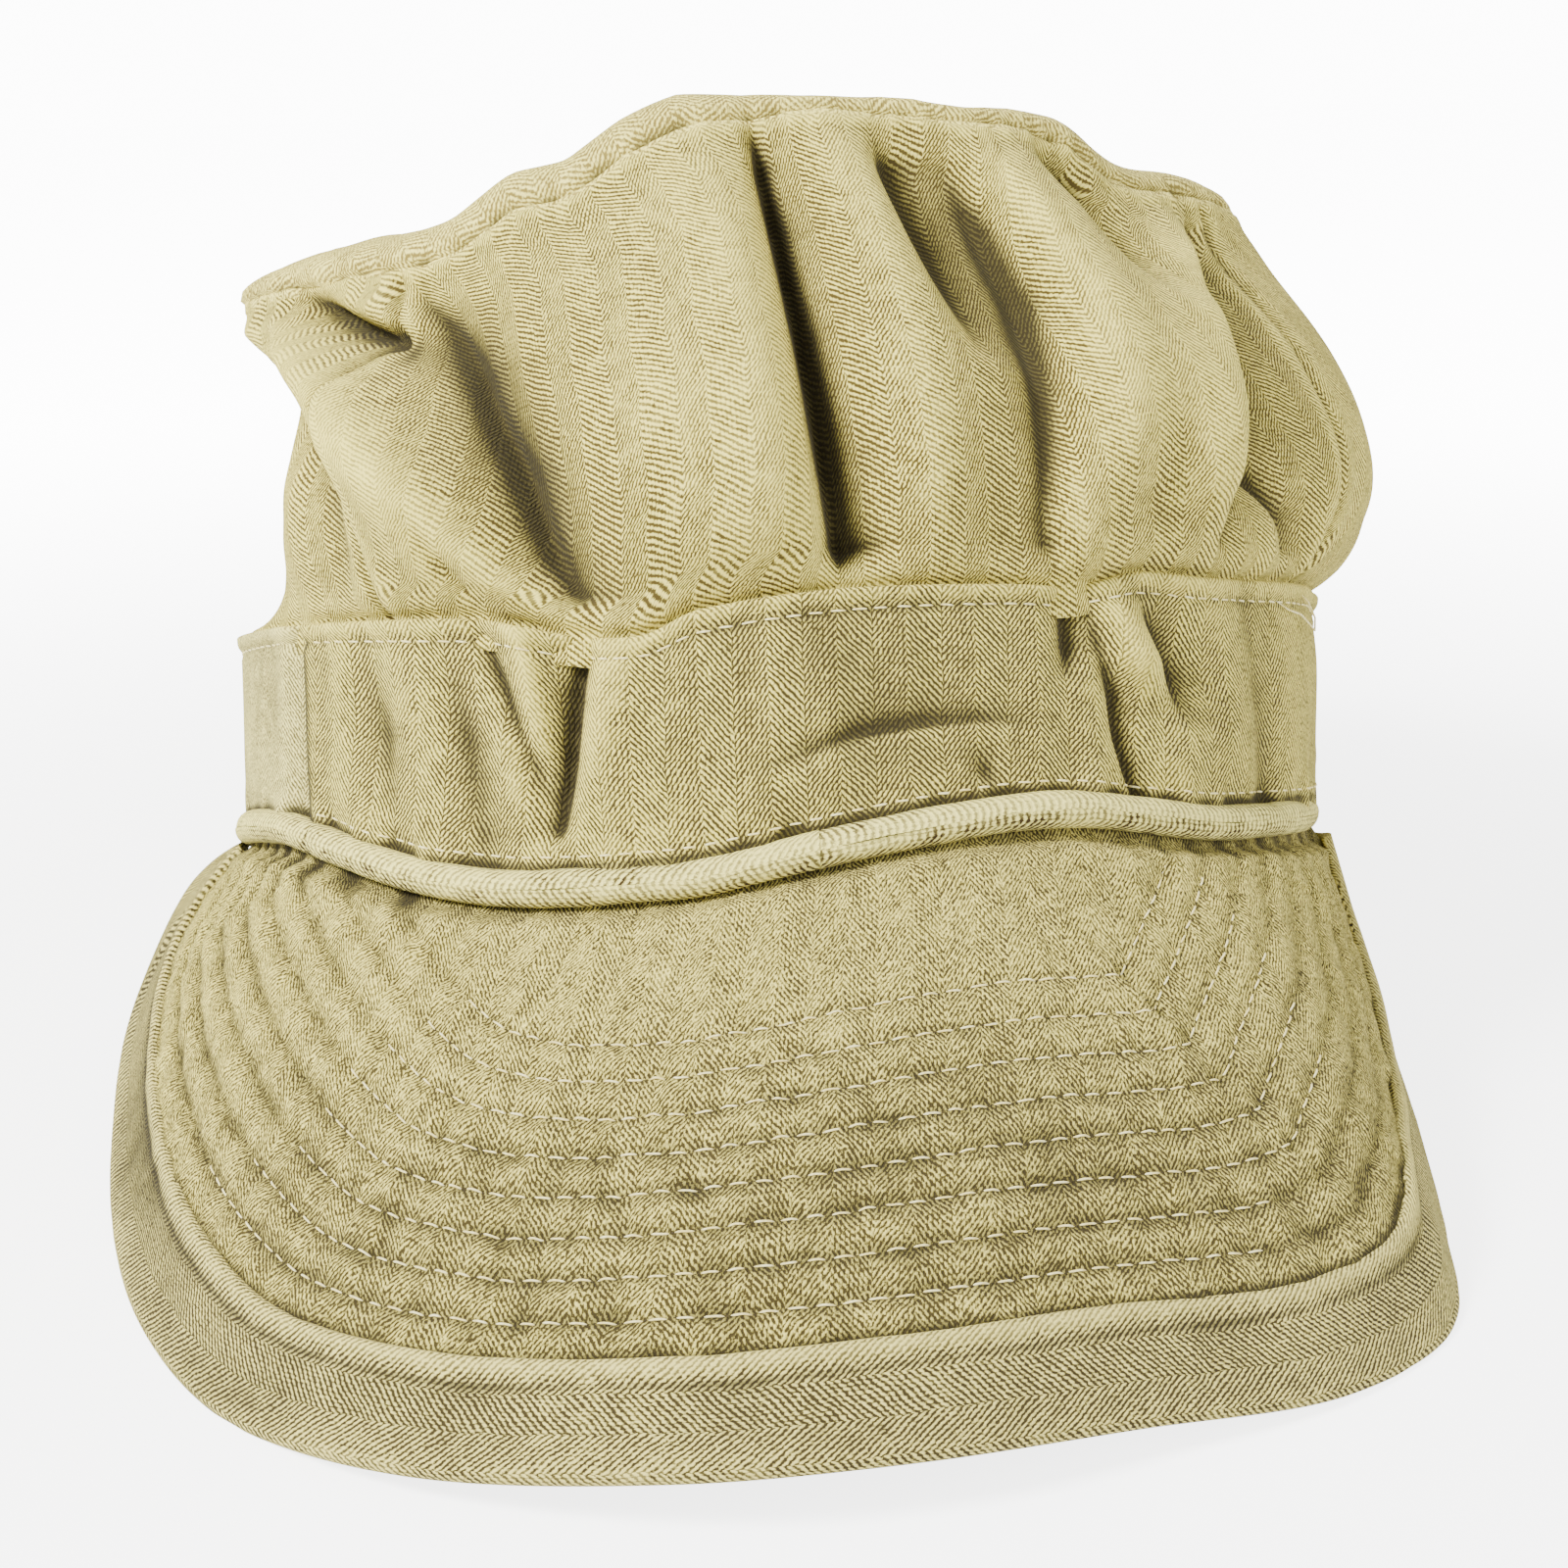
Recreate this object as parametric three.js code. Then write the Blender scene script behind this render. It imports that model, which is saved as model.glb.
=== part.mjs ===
import * as THREE from 'three';

// Field cap of washed herringbone cloth with a long stitched visor.
// Millimetres, +Z up. The front looks along -Y and the wearer's left is +X.
// The cap rests on the back of its lower edge and on the front edge of its visor.

const degree = Math.PI / 180;
const seamGap = 0.3;

// Head band, an upright oval. The whole cap is worked out upright, with zero height at the
// band's lower edge, and then leans back by lean to stand on the ground.
const band = {
  halfWidth: 88,
  halfDepth: 88,
  shiftRight: 6,
  height: 32,
  wall: 2.2,
  lean: 17.6 * degree,
  frontFrom: -55,
  frontTo: 84,
};

// Rolled lower edge under the band.
const roll = { height: 5, width: 4.6, stand: 0.7, pressed: 1.2 };

// Crown of front and back panels between the band and the oval top.
const crown = { wall: 1.8, tuck: 1.4, centreX: 0, centreY: 4, frontFrom: -42, frontTo: 63 };
const top = { wall: 1.6, dome: 11, domePower: 2.4 };

// Visor plate and the tape that binds its edge.
const visor = { wall: 2.4, tuck: 0.4, camber: 2.5 };
const binding = { width: 13.6, thick: 3.2, clear: 0.6 };

// Waves of the band, a row for each bearing from the front, positive to the right.
// low lifts the lower edge, high lifts the upper edge, out moves the wall outwards.
const bandWaves = [
  { at: -180, low: 0, high: 0, out: 0 },
  { at: -120, low: 0.6, high: 0.4, out: 0 },
  { at: -88, low: 3.4, high: 0.6, out: 0 },
  { at: -62, low: 4.6, high: 0.4, out: 0 },
  { at: -50, low: 1.5, high: 0, out: 0.3 },
  { at: -40, low: -1.9, high: -0.5, out: 0.6 },
  { at: -30, low: -3.9, high: -1.4, out: 0 },
  { at: -22, low: -4.0, high: -4.0, out: -0.6 },
  { at: -15, low: -3.5, high: -4.7, out: 0.8 },
  { at: -10, low: -2.9, high: -1.6, out: 0.7 },
  { at: 0, low: 0.2, high: 0.4, out: 0.6 },
  { at: 8, low: 2.4, high: 0.9, out: 0.5 },
  { at: 18, low: 4.2, high: 0.9, out: 0.4 },
  { at: 25, low: 4.2, high: 0.8, out: 0 },
  { at: 32, low: 2.9, high: 2.8, out: -0.8 },
  { at: 40, low: 1.6, high: 2.3, out: 0.4 },
  { at: 48, low: 1.3, high: 2.4, out: 1.4 },
  { at: 66, low: 1.4, high: 2.7, out: 0.6 },
  { at: 86, low: 2.2, high: 1.8, out: 0 },
  { at: 120, low: 0.6, high: 0.4, out: 0 },
];

// Seam of the oval top and fullness of the crown, a row for each bearing.
// reach is from the crown's axis, high is above the band's lower edge, and full is
// how far the cloth swells beyond the straight line from band to seam.
const crownRows = [
  { at: -180, reach: 66, high: 95, full: 17 },
  { at: -148, reach: 70, high: 96, full: 14 },
  { at: -120, reach: 77, high: 98, full: -6 },
  { at: -96, reach: 82, high: 99, full: -14 },
  { at: -76, reach: 78, high: 95, full: -9 },
  { at: -52, reach: 74, high: 92.7, full: 8 },
  { at: -30, reach: 72, high: 96.4, full: 11 },
  { at: -10, reach: 71, high: 103.5, full: 12 },
  { at: 10, reach: 71, high: 106.5, full: 12 },
  { at: 30, reach: 72, high: 104.8, full: 12 },
  { at: 50, reach: 74, high: 103, full: 13 },
  { at: 74, reach: 82, high: 102, full: 15 },
  { at: 105, reach: 81, high: 99, full: 17 },
  { at: 140, reach: 71, high: 96, full: 17 },
];

// Folds of the crown. Each runs from a bearing at the band to a bearing at the top.
// depth pushes inwards, a negative depth is a ridge, wide is in degrees of bearing,
// and from and to are shares of the crown's height.
const crownFolds = [
  { name: 'centre pleat', low: 2.6, high: 0.4, depth: 9, wide: 3.4, from: 0.0, to: 0.92 },
  { name: 'puff left of the pleat', low: -6, high: -8, depth: -3, wide: 8, from: 0.05, to: 0.85 },
  { name: 'long left valley', low: -19, high: -44, depth: 7, wide: 5, from: 0.0, to: 0.85 },
  { name: 'ridge left of the valley', low: -25, high: -51, depth: -3.5, wide: 5, from: 0.1, to: 0.85 },
  { name: 'ear hollow', low: 10, high: -70, depth: 8, wide: 5, from: 0.62, to: 0.98 },
  { name: 'ear', low: -50, high: -84, depth: -4, wide: 9, from: 0.7, to: 1.0 },
  { name: 'three-cornered hollow', low: 19, high: 16, depth: 5.5, wide: 4, from: 0.5, to: 0.98 },
  { name: 'curved valley', low: 22.5, high: 22, depth: 5, wide: 4.5, from: 0.0, to: 0.85 },
  { name: 'ridge right of the valley', low: 31, high: 28, depth: -3, wide: 6, from: 0.15, to: 0.95 },
  { name: 'upper right hollow', low: 58, high: 34, depth: 5, wide: 4.5, from: 0.7, to: 0.98 },
  { name: 'flap hollow', low: 40, high: 61, depth: 8, wide: 5.5, from: 0.15, to: 0.85 },
  { name: 'flap edge', low: 36, high: 56, depth: -3.5, wide: 5, from: 0.12, to: 0.85 },
  { name: 'side bulge', low: 98, high: 104, depth: -3, wide: 12, from: 0.05, to: 0.6 },
  { name: 'right side fold', low: 114, high: 118, depth: 4, wide: 6, from: 0.0, to: 0.7 },
  { name: 'back fold right', low: 140, high: 128, depth: 6, wide: 6, from: 0.0, to: 0.8 },
  { name: 'back fold centre', low: 178, high: 186, depth: 5, wide: 7, from: 0.0, to: 0.7 },
  { name: 'back fold left', low: -138, high: -126, depth: 6, wide: 6, from: 0.0, to: 0.8 },
  { name: 'left side fold', low: -100, high: -112, depth: 4.5, wide: 6, from: 0.0, to: 0.7 },
];

// Outer edge of the visor from its left end round to its right end, upright like the band.
const visorEdge = [
  { x: -84.5, y: -6, z: -1 },
  { x: -91.5, y: -11.5, z: -5 },
  { x: -98, y: -21, z: -22 },
  { x: -97, y: -42.5, z: -37 },
  { x: -91, y: -72, z: -49.6 },
  { x: -82.5, y: -95, z: -57.6 },
  { x: -70, y: -114, z: -63.2 },
  { x: -47, y: -133, z: -65.3 },
  { x: -17, y: -143.5, z: -64.6 },
  { x: 9, y: -142.5, z: -63.9 },
  { x: 38, y: -132.5, z: -63.9 },
  { x: 66, y: -120.5, z: -64.2 },
  { x: 83, y: -106, z: -60.8 },
  { x: 89, y: -86.5, z: -54.1 },
  { x: 95, y: -57, z: -42 },
  { x: 96.5, y: -34, z: -26.5 },
  { x: 94.5, y: -22, z: -9 },
  { x: 91.5, y: -14, z: -3 },
];

// How many rows and columns of faces each piece has.
const mesh = {
  crownFront: [44, 13],
  crownBack: [48, 13],
  crownTop: [46, 5],
  bandFront: [44, 4],
  bandBack: [40, 3],
  rollSteps: 60,
  visorRows: 7,
  visorInset: 3,
  bindingSteps: 56,
};

// Smooth curve through the rows of a round table, for one named column.
function aroundTable(rows, column, bearing) {
  const count = rows.length;
  let turn = bearing;
  while (turn < rows[0].at) turn += 360;
  while (turn >= rows[0].at + 360) turn -= 360;
  let here = count - 1;
  while (rows[here].at > turn) here -= 1;
  const rowAt = (step) => {
    const index = here + step;
    const lap = Math.floor(index / count);
    const row = rows[index - lap * count];
    return { at: row.at + lap * 360, value: row[column] };
  };
  const [before, start, end, after] = [-1, 0, 1, 2].map(rowAt);
  const span = end.at - start.at;
  const share = (turn - start.at) / span;
  const slopeStart = (end.value - before.value) / (end.at - before.at) * span;
  const slopeEnd = (after.value - start.value) / (after.at - start.at) * span;
  const square = share * share;
  const cube = square * share;
  return (2 * cube - 3 * square + 1) * start.value + (cube - 2 * square + share) * slopeStart
    + (3 * square - 2 * cube) * end.value + (cube - square) * slopeEnd;
}

function smoothStep(low, high, value) {
  const share = Math.min(Math.max((value - low) / (high - low), 0), 1);
  return share * share * (3 - 2 * share);
}

// Leans a point of the upright cap back and stands it on the ground.
function standUp(point) {
  const sine = Math.sin(band.lean);
  const cosine = Math.cos(band.lean);
  const lift = band.halfDepth * sine - roll.pressed;
  const height = point.z * cosine - point.y * sine + lift;
  return new THREE.Vector3(point.x, point.y * cosine + point.z * sine, Math.max(height, 0));
}

// Direction straight out of the band at a bearing.
function outward(bearing) {
  return new THREE.Vector3(Math.sin(bearing * degree), -Math.cos(bearing * degree), 0);
}

// Point of the band's oval at a bearing, moved outwards and up.
function bandPoint(bearing, out, high) {
  const way = outward(bearing);
  return new THREE.Vector3(
    band.shiftRight + (band.halfWidth + out) * way.x,
    (band.halfDepth + out) * way.y,
    high,
  );
}

function bandLow(bearing) {
  return aroundTable(bandWaves, 'low', bearing);
}

function bandHigh(bearing) {
  return roll.height + band.height + aroundTable(bandWaves, 'high', bearing);
}

// Height between the roll and the crown, as a share from 0 to 1.
function bandWall(bearing, share, out) {
  const low = bandLow(bearing) + roll.height + seamGap;
  const bow = aroundTable(bandWaves, 'out', bearing) * Math.sin(Math.PI * share);
  return bandPoint(bearing, out + bow, low + (bandHigh(bearing) - low) * share);
}

// Seam between the crown and the oval top.
function topSeam(bearing) {
  const reach = aroundTable(crownRows, 'reach', bearing);
  const high = aroundTable(crownRows, 'high', bearing);
  return new THREE.Vector3(crown.centreX, crown.centreY, high).addScaledVector(outward(bearing), reach);
}

function foldDepth(bearing, share) {
  let depth = 0;
  for (const fold of crownFolds) {
    const middle = fold.low + (fold.high - fold.low) * share;
    const apart = ((bearing - middle + 540) % 360) - 180;
    const across = Math.exp(-((apart / fold.wide) ** 2));
    const rise = smoothStep(fold.from - 0.08, fold.from + 0.12, share);
    const fall = 1 - smoothStep(fold.to - 0.16, fold.to + 0.06, share);
    depth += fold.depth * across * rise * fall;
  }
  return depth * Math.min(1, share * 9) * Math.min(1, (1 - share) * 7);
}

// Outer face of the crown at a bearing, share 0 at the band and 1 at the top seam.
function crownPoint(bearing, share) {
  const base = bandPoint(bearing, -crown.tuck, bandHigh(bearing) + seamGap);
  const seam = topSeam(bearing);
  const swell = aroundTable(crownRows, 'full', bearing) * Math.sin(Math.PI * share ** 0.7);
  const out = swell - foldDepth(bearing, share);
  return base.lerp(seam, share).addScaledVector(outward(bearing), out);
}

// Direction out of the crown's wall, level along its two edges.
function crownOut(bearing, share) {
  const step = 0.02;
  const along = crownPoint(bearing + 1, share).sub(crownPoint(bearing - 1, share));
  const upper = crownPoint(bearing, Math.min(1, share + step));
  const rising = upper.sub(crownPoint(bearing, Math.max(0, share - step)));
  const steep = along.cross(rising).normalize();
  const ends = smoothStep(0, 0.15, share) * smoothStep(0, 0.15, 1 - share);
  return outward(bearing).lerp(steep, ends).normalize();
}

function topPoint(bearing, share, thick) {
  const rim = topSeam(bearing);
  let meanHeight = 0;
  for (const row of crownRows) meanHeight += row.high / crownRows.length;
  const point = new THREE.Vector3(crown.centreX, crown.centreY, meanHeight).lerp(rim, share);
  point.z += top.dome * (1 - share ** top.domePower) + seamGap + thick;
  return point;
}

const edgeCurve = new THREE.CatmullRomCurve3(
  visorEdge.map((row) => new THREE.Vector3(row.x, row.y, row.z)),
  false,
  'centripetal',
);

// Point on the visor's middle face, share 0 under the band and 1 at the outer edge.
function visorPoint(along, share) {
  const bearing = -88 + 176 * along;
  const inner = bandPoint(bearing, -visor.tuck, bandLow(bearing) - seamGap - visor.wall * 0.62);
  const outer = edgeCurve.getPointAt(along);
  const length = inner.distanceTo(outer);
  const point = inner.lerp(outer, share);
  point.z += visor.camber * Math.sin(Math.PI * share) * Math.min(1, length / 60);
  return point;
}

function visorUp(along, share) {
  const step = 0.01;
  const ahead = visorPoint(Math.min(1, along + step), share);
  const across = ahead.sub(visorPoint(Math.max(0, along - step), share));
  const further = visorPoint(along, Math.min(1, share + step));
  const outward = further.sub(visorPoint(along, Math.max(0, share - step)));
  return outward.cross(across).normalize();
}

// Place along the visor of a station of the binding.
function stationAt(step) {
  const endClear = 0.004;
  return endClear + (1 - 2 * endClear) * step / mesh.bindingSteps;
}

// Share of the visor's width that lies inside the binding.
function bindingShare(along, distance) {
  const outer = visorPoint(along, 1);
  const ray = visorPoint(along, 0.9).sub(outer);
  const step = 0.004;
  const edge = edgeCurve.getPointAt(Math.min(1, along + step));
  edge.sub(edgeCurve.getPointAt(Math.max(0, along - step))).normalize();
  const slant = ray.clone().cross(edge).length() / ray.length();
  const width = visorPoint(along, 0).distanceTo(outer);
  return Math.max(1 - distance / (Math.max(slant, 0.3) * width), 0.02);
}

// Closed body from its faces, stood on the ground, with shared corners.
function bodyFrom(quads) {
  const corners = new Map();
  const positions = [];
  const faces = [];
  const cornerOf = (point) => {
    const placed = standUp(point);
    const key = placed.toArray().map((value) => value.toFixed(4)).join(' ');
    if (!corners.has(key)) {
      corners.set(key, positions.length / 3);
      positions.push(...placed.toArray());
    }
    return corners.get(key);
  };
  const addFace = (first, second, third) => {
    if (first !== second && second !== third && first !== third) faces.push(first, second, third);
  };
  for (const quad of quads) {
    const [a, b, c, d] = quad.map(cornerOf);
    addFace(a, b, c);
    addFace(a, c, d);
  }
  const geometry = new THREE.BufferGeometry();
  geometry.setAttribute('position', new THREE.Float32BufferAttribute(positions, 3));
  geometry.setIndex(faces);
  geometry.computeVertexNormals();
  return geometry;
}

// Wall between an outer and an inner face, each a grid of points.
function wallBody(columns, rows, outer, inner, closed) {
  const quads = [];
  const grid = (face) => {
    const lines = [];
    for (let i = 0; i <= columns; i += 1) {
      const line = [];
      for (let j = 0; j <= rows; j += 1) line.push(face(i / columns, j / rows));
      lines.push(line);
    }
    if (closed) lines[columns] = lines[0];
    return lines;
  };
  const out = grid(outer);
  const back = grid(inner);
  for (let i = 0; i < columns; i += 1) {
    for (let j = 0; j < rows; j += 1) {
      quads.push([out[i][j], out[i + 1][j], out[i + 1][j + 1], out[i][j + 1]]);
      quads.push([back[i][j], back[i][j + 1], back[i + 1][j + 1], back[i + 1][j]]);
    }
    quads.push([back[i][0], back[i + 1][0], out[i + 1][0], out[i][0]]);
    quads.push([out[i][rows], out[i + 1][rows], back[i + 1][rows], back[i][rows]]);
  }
  for (let j = 0; j < rows && !closed; j += 1) {
    quads.push([back[0][j], out[0][j], out[0][j + 1], back[0][j + 1]]);
    quads.push([back[columns][j], back[columns][j + 1], out[columns][j + 1], out[columns][j]]);
  }
  return bodyFrom(quads);
}

// Body swept along stations, each a ring of points. Open sweeps have flat ends.
function sweepBody(stations, closed) {
  const quads = [];
  const count = stations.length;
  const sides = stations[0].length;
  const last = closed ? count : count - 1;
  for (let i = 0; i < last; i += 1) {
    const here = stations[i];
    const next = stations[(i + 1) % count];
    for (let j = 0; j < sides; j += 1) {
      const following = (j + 1) % sides;
      quads.push([here[j], next[j], next[following], here[following]]);
    }
  }
  if (!closed) {
    const first = stations[0];
    const end = stations[count - 1];
    for (let j = 1; j < sides - 1; j += 1) {
      quads.push([first[0], first[j], first[j + 1], first[j + 1]]);
      quads.push([end[0], end[j + 1], end[j], end[j]]);
    }
  }
  return bodyFrom(quads);
}

function cloth(color) {
  return new THREE.MeshStandardMaterial({ color, roughness: 0.95, metalness: 0 });
}

const crownCloth = cloth(0xd1c49a);
const bandCloth = cloth(0xcabd93);
const visorCloth = cloth(0xc0b384);
const tapeCloth = cloth(0xb9af8d);
const group = new THREE.Group();

function addPiece(name, geometry, material) {
  const piece = new THREE.Mesh(geometry, material);
  piece.name = name;
  group.add(piece);
}

// Half of the seam gap at the band's radius, in degrees.
const halfGap = seamGap / 2 / band.halfWidth / degree;

// Start and span of the front and back panels of a ring whose front piece is given.
function panelSpans({ frontFrom, frontTo }) {
  const frontSpan = frontTo - frontFrom - 2 * halfGap;
  return {
    front: [frontFrom + halfGap, frontSpan],
    back: [frontTo + halfGap, 360 - frontSpan - 4 * halfGap],
  };
}

function crownPanel(name, [start, span], [columns, rows]) {
  const outer = (i, j) => crownPoint(start + span * i, j);
  const inner = (i, j) => {
    const bearing = start + span * i;
    return crownPoint(bearing, j).addScaledVector(crownOut(bearing, j), -crown.wall);
  };
  addPiece(name, wallBody(columns, rows, outer, inner, false), crownCloth);
}

function bandPanel(name, [start, span], [columns, rows]) {
  const outer = (i, j) => bandWall(start + span * i, j, 0);
  const inner = (i, j) => bandWall(start + span * i, j, -band.wall);
  addPiece(name, wallBody(columns, rows, outer, inner, false), bandCloth);
}

const crownSpans = panelSpans(crown);
const bandSpans = panelSpans(band);
crownPanel('crown_front', crownSpans.front, mesh.crownFront);
crownPanel('crown_back', crownSpans.back, mesh.crownBack);
bandPanel('band_front', bandSpans.front, mesh.bandFront);
bandPanel('band_back', bandSpans.back, mesh.bandBack);

// Oval top, a shallow dome over the seam.
const [topColumns, topRows] = mesh.crownTop;
const topOuter = (i, j) => topPoint(-360 * i, j, top.wall);
const topInner = (i, j) => topPoint(-360 * i, j, 0);
addPiece('crown_top', wallBody(topColumns, topRows, topOuter, topInner, true), crownCloth);

// Rolled edge, flattened at the back where the cap stands on it.
const rollStations = [];
for (let i = 0; i < mesh.rollSteps; i += 1) {
  const bearing = 360 * i / mesh.rollSteps;
  const ring = [];
  for (let j = 0; j < 8; j += 1) {
    const turn = (22.5 + 45 * j) * degree;
    const out = roll.stand - band.wall / 2 + roll.width / 2 * 1.08 * Math.cos(turn);
    const high = bandLow(bearing) + roll.height / 2 * (1 + 1.08 * Math.sin(turn));
    ring.push(bandPoint(bearing, out, Math.min(high, bandLow(bearing) + roll.height)));
  }
  rollStations.push(ring);
}
addPiece('edge_roll', sweepBody(rollStations, true), bandCloth);

// Visor plate, up to the binding.
// Its columns are the binding's stations, without the last few at each end.
const visorColumns = mesh.bindingSteps - 2 * mesh.visorInset;
const visorFace = (side) => (i, j) => {
  const along = stationAt(mesh.bindingSteps - mesh.visorInset - visorColumns * i);
  const share = bindingShare(along, binding.width + binding.clear) * j;
  return visorPoint(along, share).addScaledVector(visorUp(along, share), side * visor.wall / 2);
};
const visorPlate = wallBody(visorColumns, mesh.visorRows, visorFace(1), visorFace(-1), false);
addPiece('visor', visorPlate, visorCloth);

// Binding tape, a flat strip with a round outer edge that lies on the ground in front.
// Each corner of its section is a distance in from the edge and a height off the middle face.
const bindingSection = [
  { inward: 1, high: -1 },
  { inward: 1, high: 1 },
  { inward: 0.5, high: 1.1 },
  { inward: 0.09, high: 0.95 },
  { inward: 0, high: 0.45 },
  { inward: 0, high: -0.45 },
  { inward: 0.08, high: -0.95 },
  { inward: 0.2, high: -1 },
];
const bindingStations = [];
for (let i = 0; i <= mesh.bindingSteps; i += 1) {
  const along = stationAt(i);
  const ring = bindingSection.map((corner) => {
    const share = bindingShare(along, corner.inward * binding.width);
    const lift = corner.high * binding.thick / 2;
    return visorPoint(along, share).addScaledVector(visorUp(along, share), lift);
  });
  bindingStations.push(ring.reverse());
}
addPiece('visor_binding', sweepBody(bindingStations, false), tapeCloth);

// The origin is the middle of the cap's outline on the ground.
const extent = new THREE.Box3().setFromObject(group);
group.position.set(
  -(extent.min.x + extent.max.x) / 2,
  -(extent.min.y + extent.max.y) / 2,
  -extent.min.z,
);

export default group;
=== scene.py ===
import math
import bpy
import numpy as np
from mathutils import Matrix, Vector


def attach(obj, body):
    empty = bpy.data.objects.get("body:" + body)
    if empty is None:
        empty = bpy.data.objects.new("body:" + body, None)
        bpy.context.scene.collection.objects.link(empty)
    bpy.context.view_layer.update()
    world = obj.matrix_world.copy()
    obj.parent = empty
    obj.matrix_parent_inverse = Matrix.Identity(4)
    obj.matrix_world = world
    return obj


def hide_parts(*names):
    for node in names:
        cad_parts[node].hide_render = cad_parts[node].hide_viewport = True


# Field cap of washed herringbone cloth. Millimetres in the tables, metres in the meshes.
# The cap is worked out upright and standUp leans it back on the ground, as in the CAD model.

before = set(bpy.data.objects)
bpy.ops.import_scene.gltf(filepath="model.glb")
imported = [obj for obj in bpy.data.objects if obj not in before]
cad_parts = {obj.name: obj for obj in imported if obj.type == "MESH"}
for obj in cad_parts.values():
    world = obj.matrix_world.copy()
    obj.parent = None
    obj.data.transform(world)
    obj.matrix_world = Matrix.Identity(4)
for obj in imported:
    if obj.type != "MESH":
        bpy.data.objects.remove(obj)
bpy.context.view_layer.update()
millimetre = 0.001
seamGap = 0.3

band = {"halfWidth": 88, "halfDepth": 88, "shiftRight": 6, "height": 32, "wall": 1.2,
        "frontFrom": -55, "frontTo": 84, "foot": -0.05, "lip": 0.97, "sewn": 0.895}
stance = {"lean": math.radians(17.6), "right": -4.378, "back": 24.026, "pressed": 1.2}
roll = {"height": 5, "width": 4.8, "stand": 0.7}


def table(names, rows):
    values = np.array(rows, float)
    return {name: values[:, index] for index, name in enumerate(names)}


# How the band's edges wave up and down and how far it stands out, at each bearing
bandWaves = table(("at", "low", "high", "out"), [
    (-180, 0, 0, 0), (-120, 0.6, 0.4, 0), (-88, 3.4, 0.6, 0), (-62, 4.6, 0.4, 0),
    (-50, 1.5, 0, 0.3), (-40, -1.9, -0.5, 0.6), (-30, -3.9, -1.4, 0), (-22, -4.0, -4.0, -0.6),
    (-15, -3.5, -4.7, 0.8), (-10, -2.9, -1.6, 0.7), (0, 0.2, 0.4, 0.6), (8, 2.4, 0.9, 0.5),
    (18, 4.2, 0.9, 0.4), (25, 4.2, 0.8, 0), (32, 2.9, 2.8, -0.8), (40, 1.6, 2.3, 0.4),
    (48, 1.3, 2.4, 1.4), (66, 1.4, 2.7, 0.6), (86, 2.2, 1.8, 0), (120, 0.6, 0.4, 0)])


# A fold that reaches left and right of its path, with sharp 1 for a crease and 2 for a soft fold.
# Each row of the path is a share of the height, a bearing and a depth inwards.
def foldAlong(left, right, sharp, path):
    return {"left": left, "right": right, "sharp": sharp, "path": np.array(path, float)}


# Smooth curve from start to end with a slope at each
def between(share, start, end, slopeStart, slopeEnd):
    square = share ** 2
    cube = share ** 3
    return ((2 * cube - 3 * square + 1) * start + (cube - 2 * square + share) * slopeStart
            + (3 * square - 2 * cube) * end + (cube - square) * slopeEnd)


# Value of one column of a table at a bearing, on a smooth curve all the way round
def roundCurve(rows, column, bearing):
    at = rows["at"]
    value = rows[column]
    count = len(at)
    turn = at[0] + np.mod(np.asarray(bearing, float) - at[0], 360)
    here = np.searchsorted(at, turn, side="right") - 1

    def pick(step):
        lap = (here + step) // count
        index = here + step - lap * count
        return at[index] + 360 * lap, value[index]

    (atBefore, before), (atStart, start), (atEnd, end), (atAfter, after) = map(pick, (-1, 0, 1, 2))
    span = atEnd - atStart
    share = (turn - atStart) / span
    slopeStart = (end - before) / (atEnd - atBefore) * span
    slopeEnd = (after - start) / (atAfter - atStart) * span
    return between(share, start, end, slopeStart, slopeEnd)


def smoothStep(low, high, value):
    share = np.clip((value - low) / (high - low), 0, 1)
    return share * share * (3 - 2 * share)


# 1 where the value is 0, falling to 0 on both sides over about the width
def hump(value, width, power=2):
    return np.exp(-(value / width) ** power)


def unit(vectors):
    return vectors / np.linalg.norm(vectors, axis=-1, keepdims=True)


# Value of one column of a fold's path, rounded at its corners
def softPath(path, column, share):
    fine = np.linspace(-0.2, 1.2, 281)
    values = np.interp(fine, path[:, 0], path[:, column])
    kernel = np.hanning(19)
    padded = np.pad(values, 9, mode="edge")
    smooth = np.convolve(padded, kernel / kernel.sum(), mode="valid")
    return np.interp(share, fine, smooth)


# Smooth noise from -1 to 1 on a grid of unit cells
def softNoise(across, along, seed):
    size = 64
    cells = np.random.default_rng(seed).uniform(-1, 1, (size, size))
    column = np.floor(across).astype(int)
    row = np.floor(along).astype(int)
    fadeAcross = smoothStep(0, 1, across - column)
    fadeAlong = smoothStep(0, 1, along - row)

    def cell(i, j):
        return cells[(column + i) % size, (row + j) % size]

    near = cell(0, 0) + (cell(1, 0) - cell(0, 0)) * fadeAcross
    far = cell(0, 1) + (cell(1, 1) - cell(0, 1)) * fadeAcross
    return near + (far - near) * fadeAlong


def outward(bearing):
    angle = np.radians(bearing)
    return np.stack([np.sin(angle), -np.cos(angle), np.zeros_like(angle)], -1)


def standUp(points):
    sine = math.sin(stance["lean"])
    cosine = math.cos(stance["lean"])
    lift = band["halfDepth"] * sine - stance["pressed"]
    height = points[..., 2] * cosine - points[..., 1] * sine + lift
    depth = points[..., 1] * cosine + points[..., 2] * sine + stance["back"]
    placed = [points[..., 0] + stance["right"], depth, np.maximum(height, 0)]
    return np.stack(placed, -1) * millimetre


def bandPoint(bearing, out, high):
    way = outward(bearing)
    x = band["shiftRight"] + (band["halfWidth"] + out) * way[..., 0]
    y = (band["halfDepth"] + out) * way[..., 1]
    return np.stack([x, y, np.broadcast_to(high, x.shape)], -1)


def bandLow(bearing):
    return roundCurve(bandWaves, "low", bearing)


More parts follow.
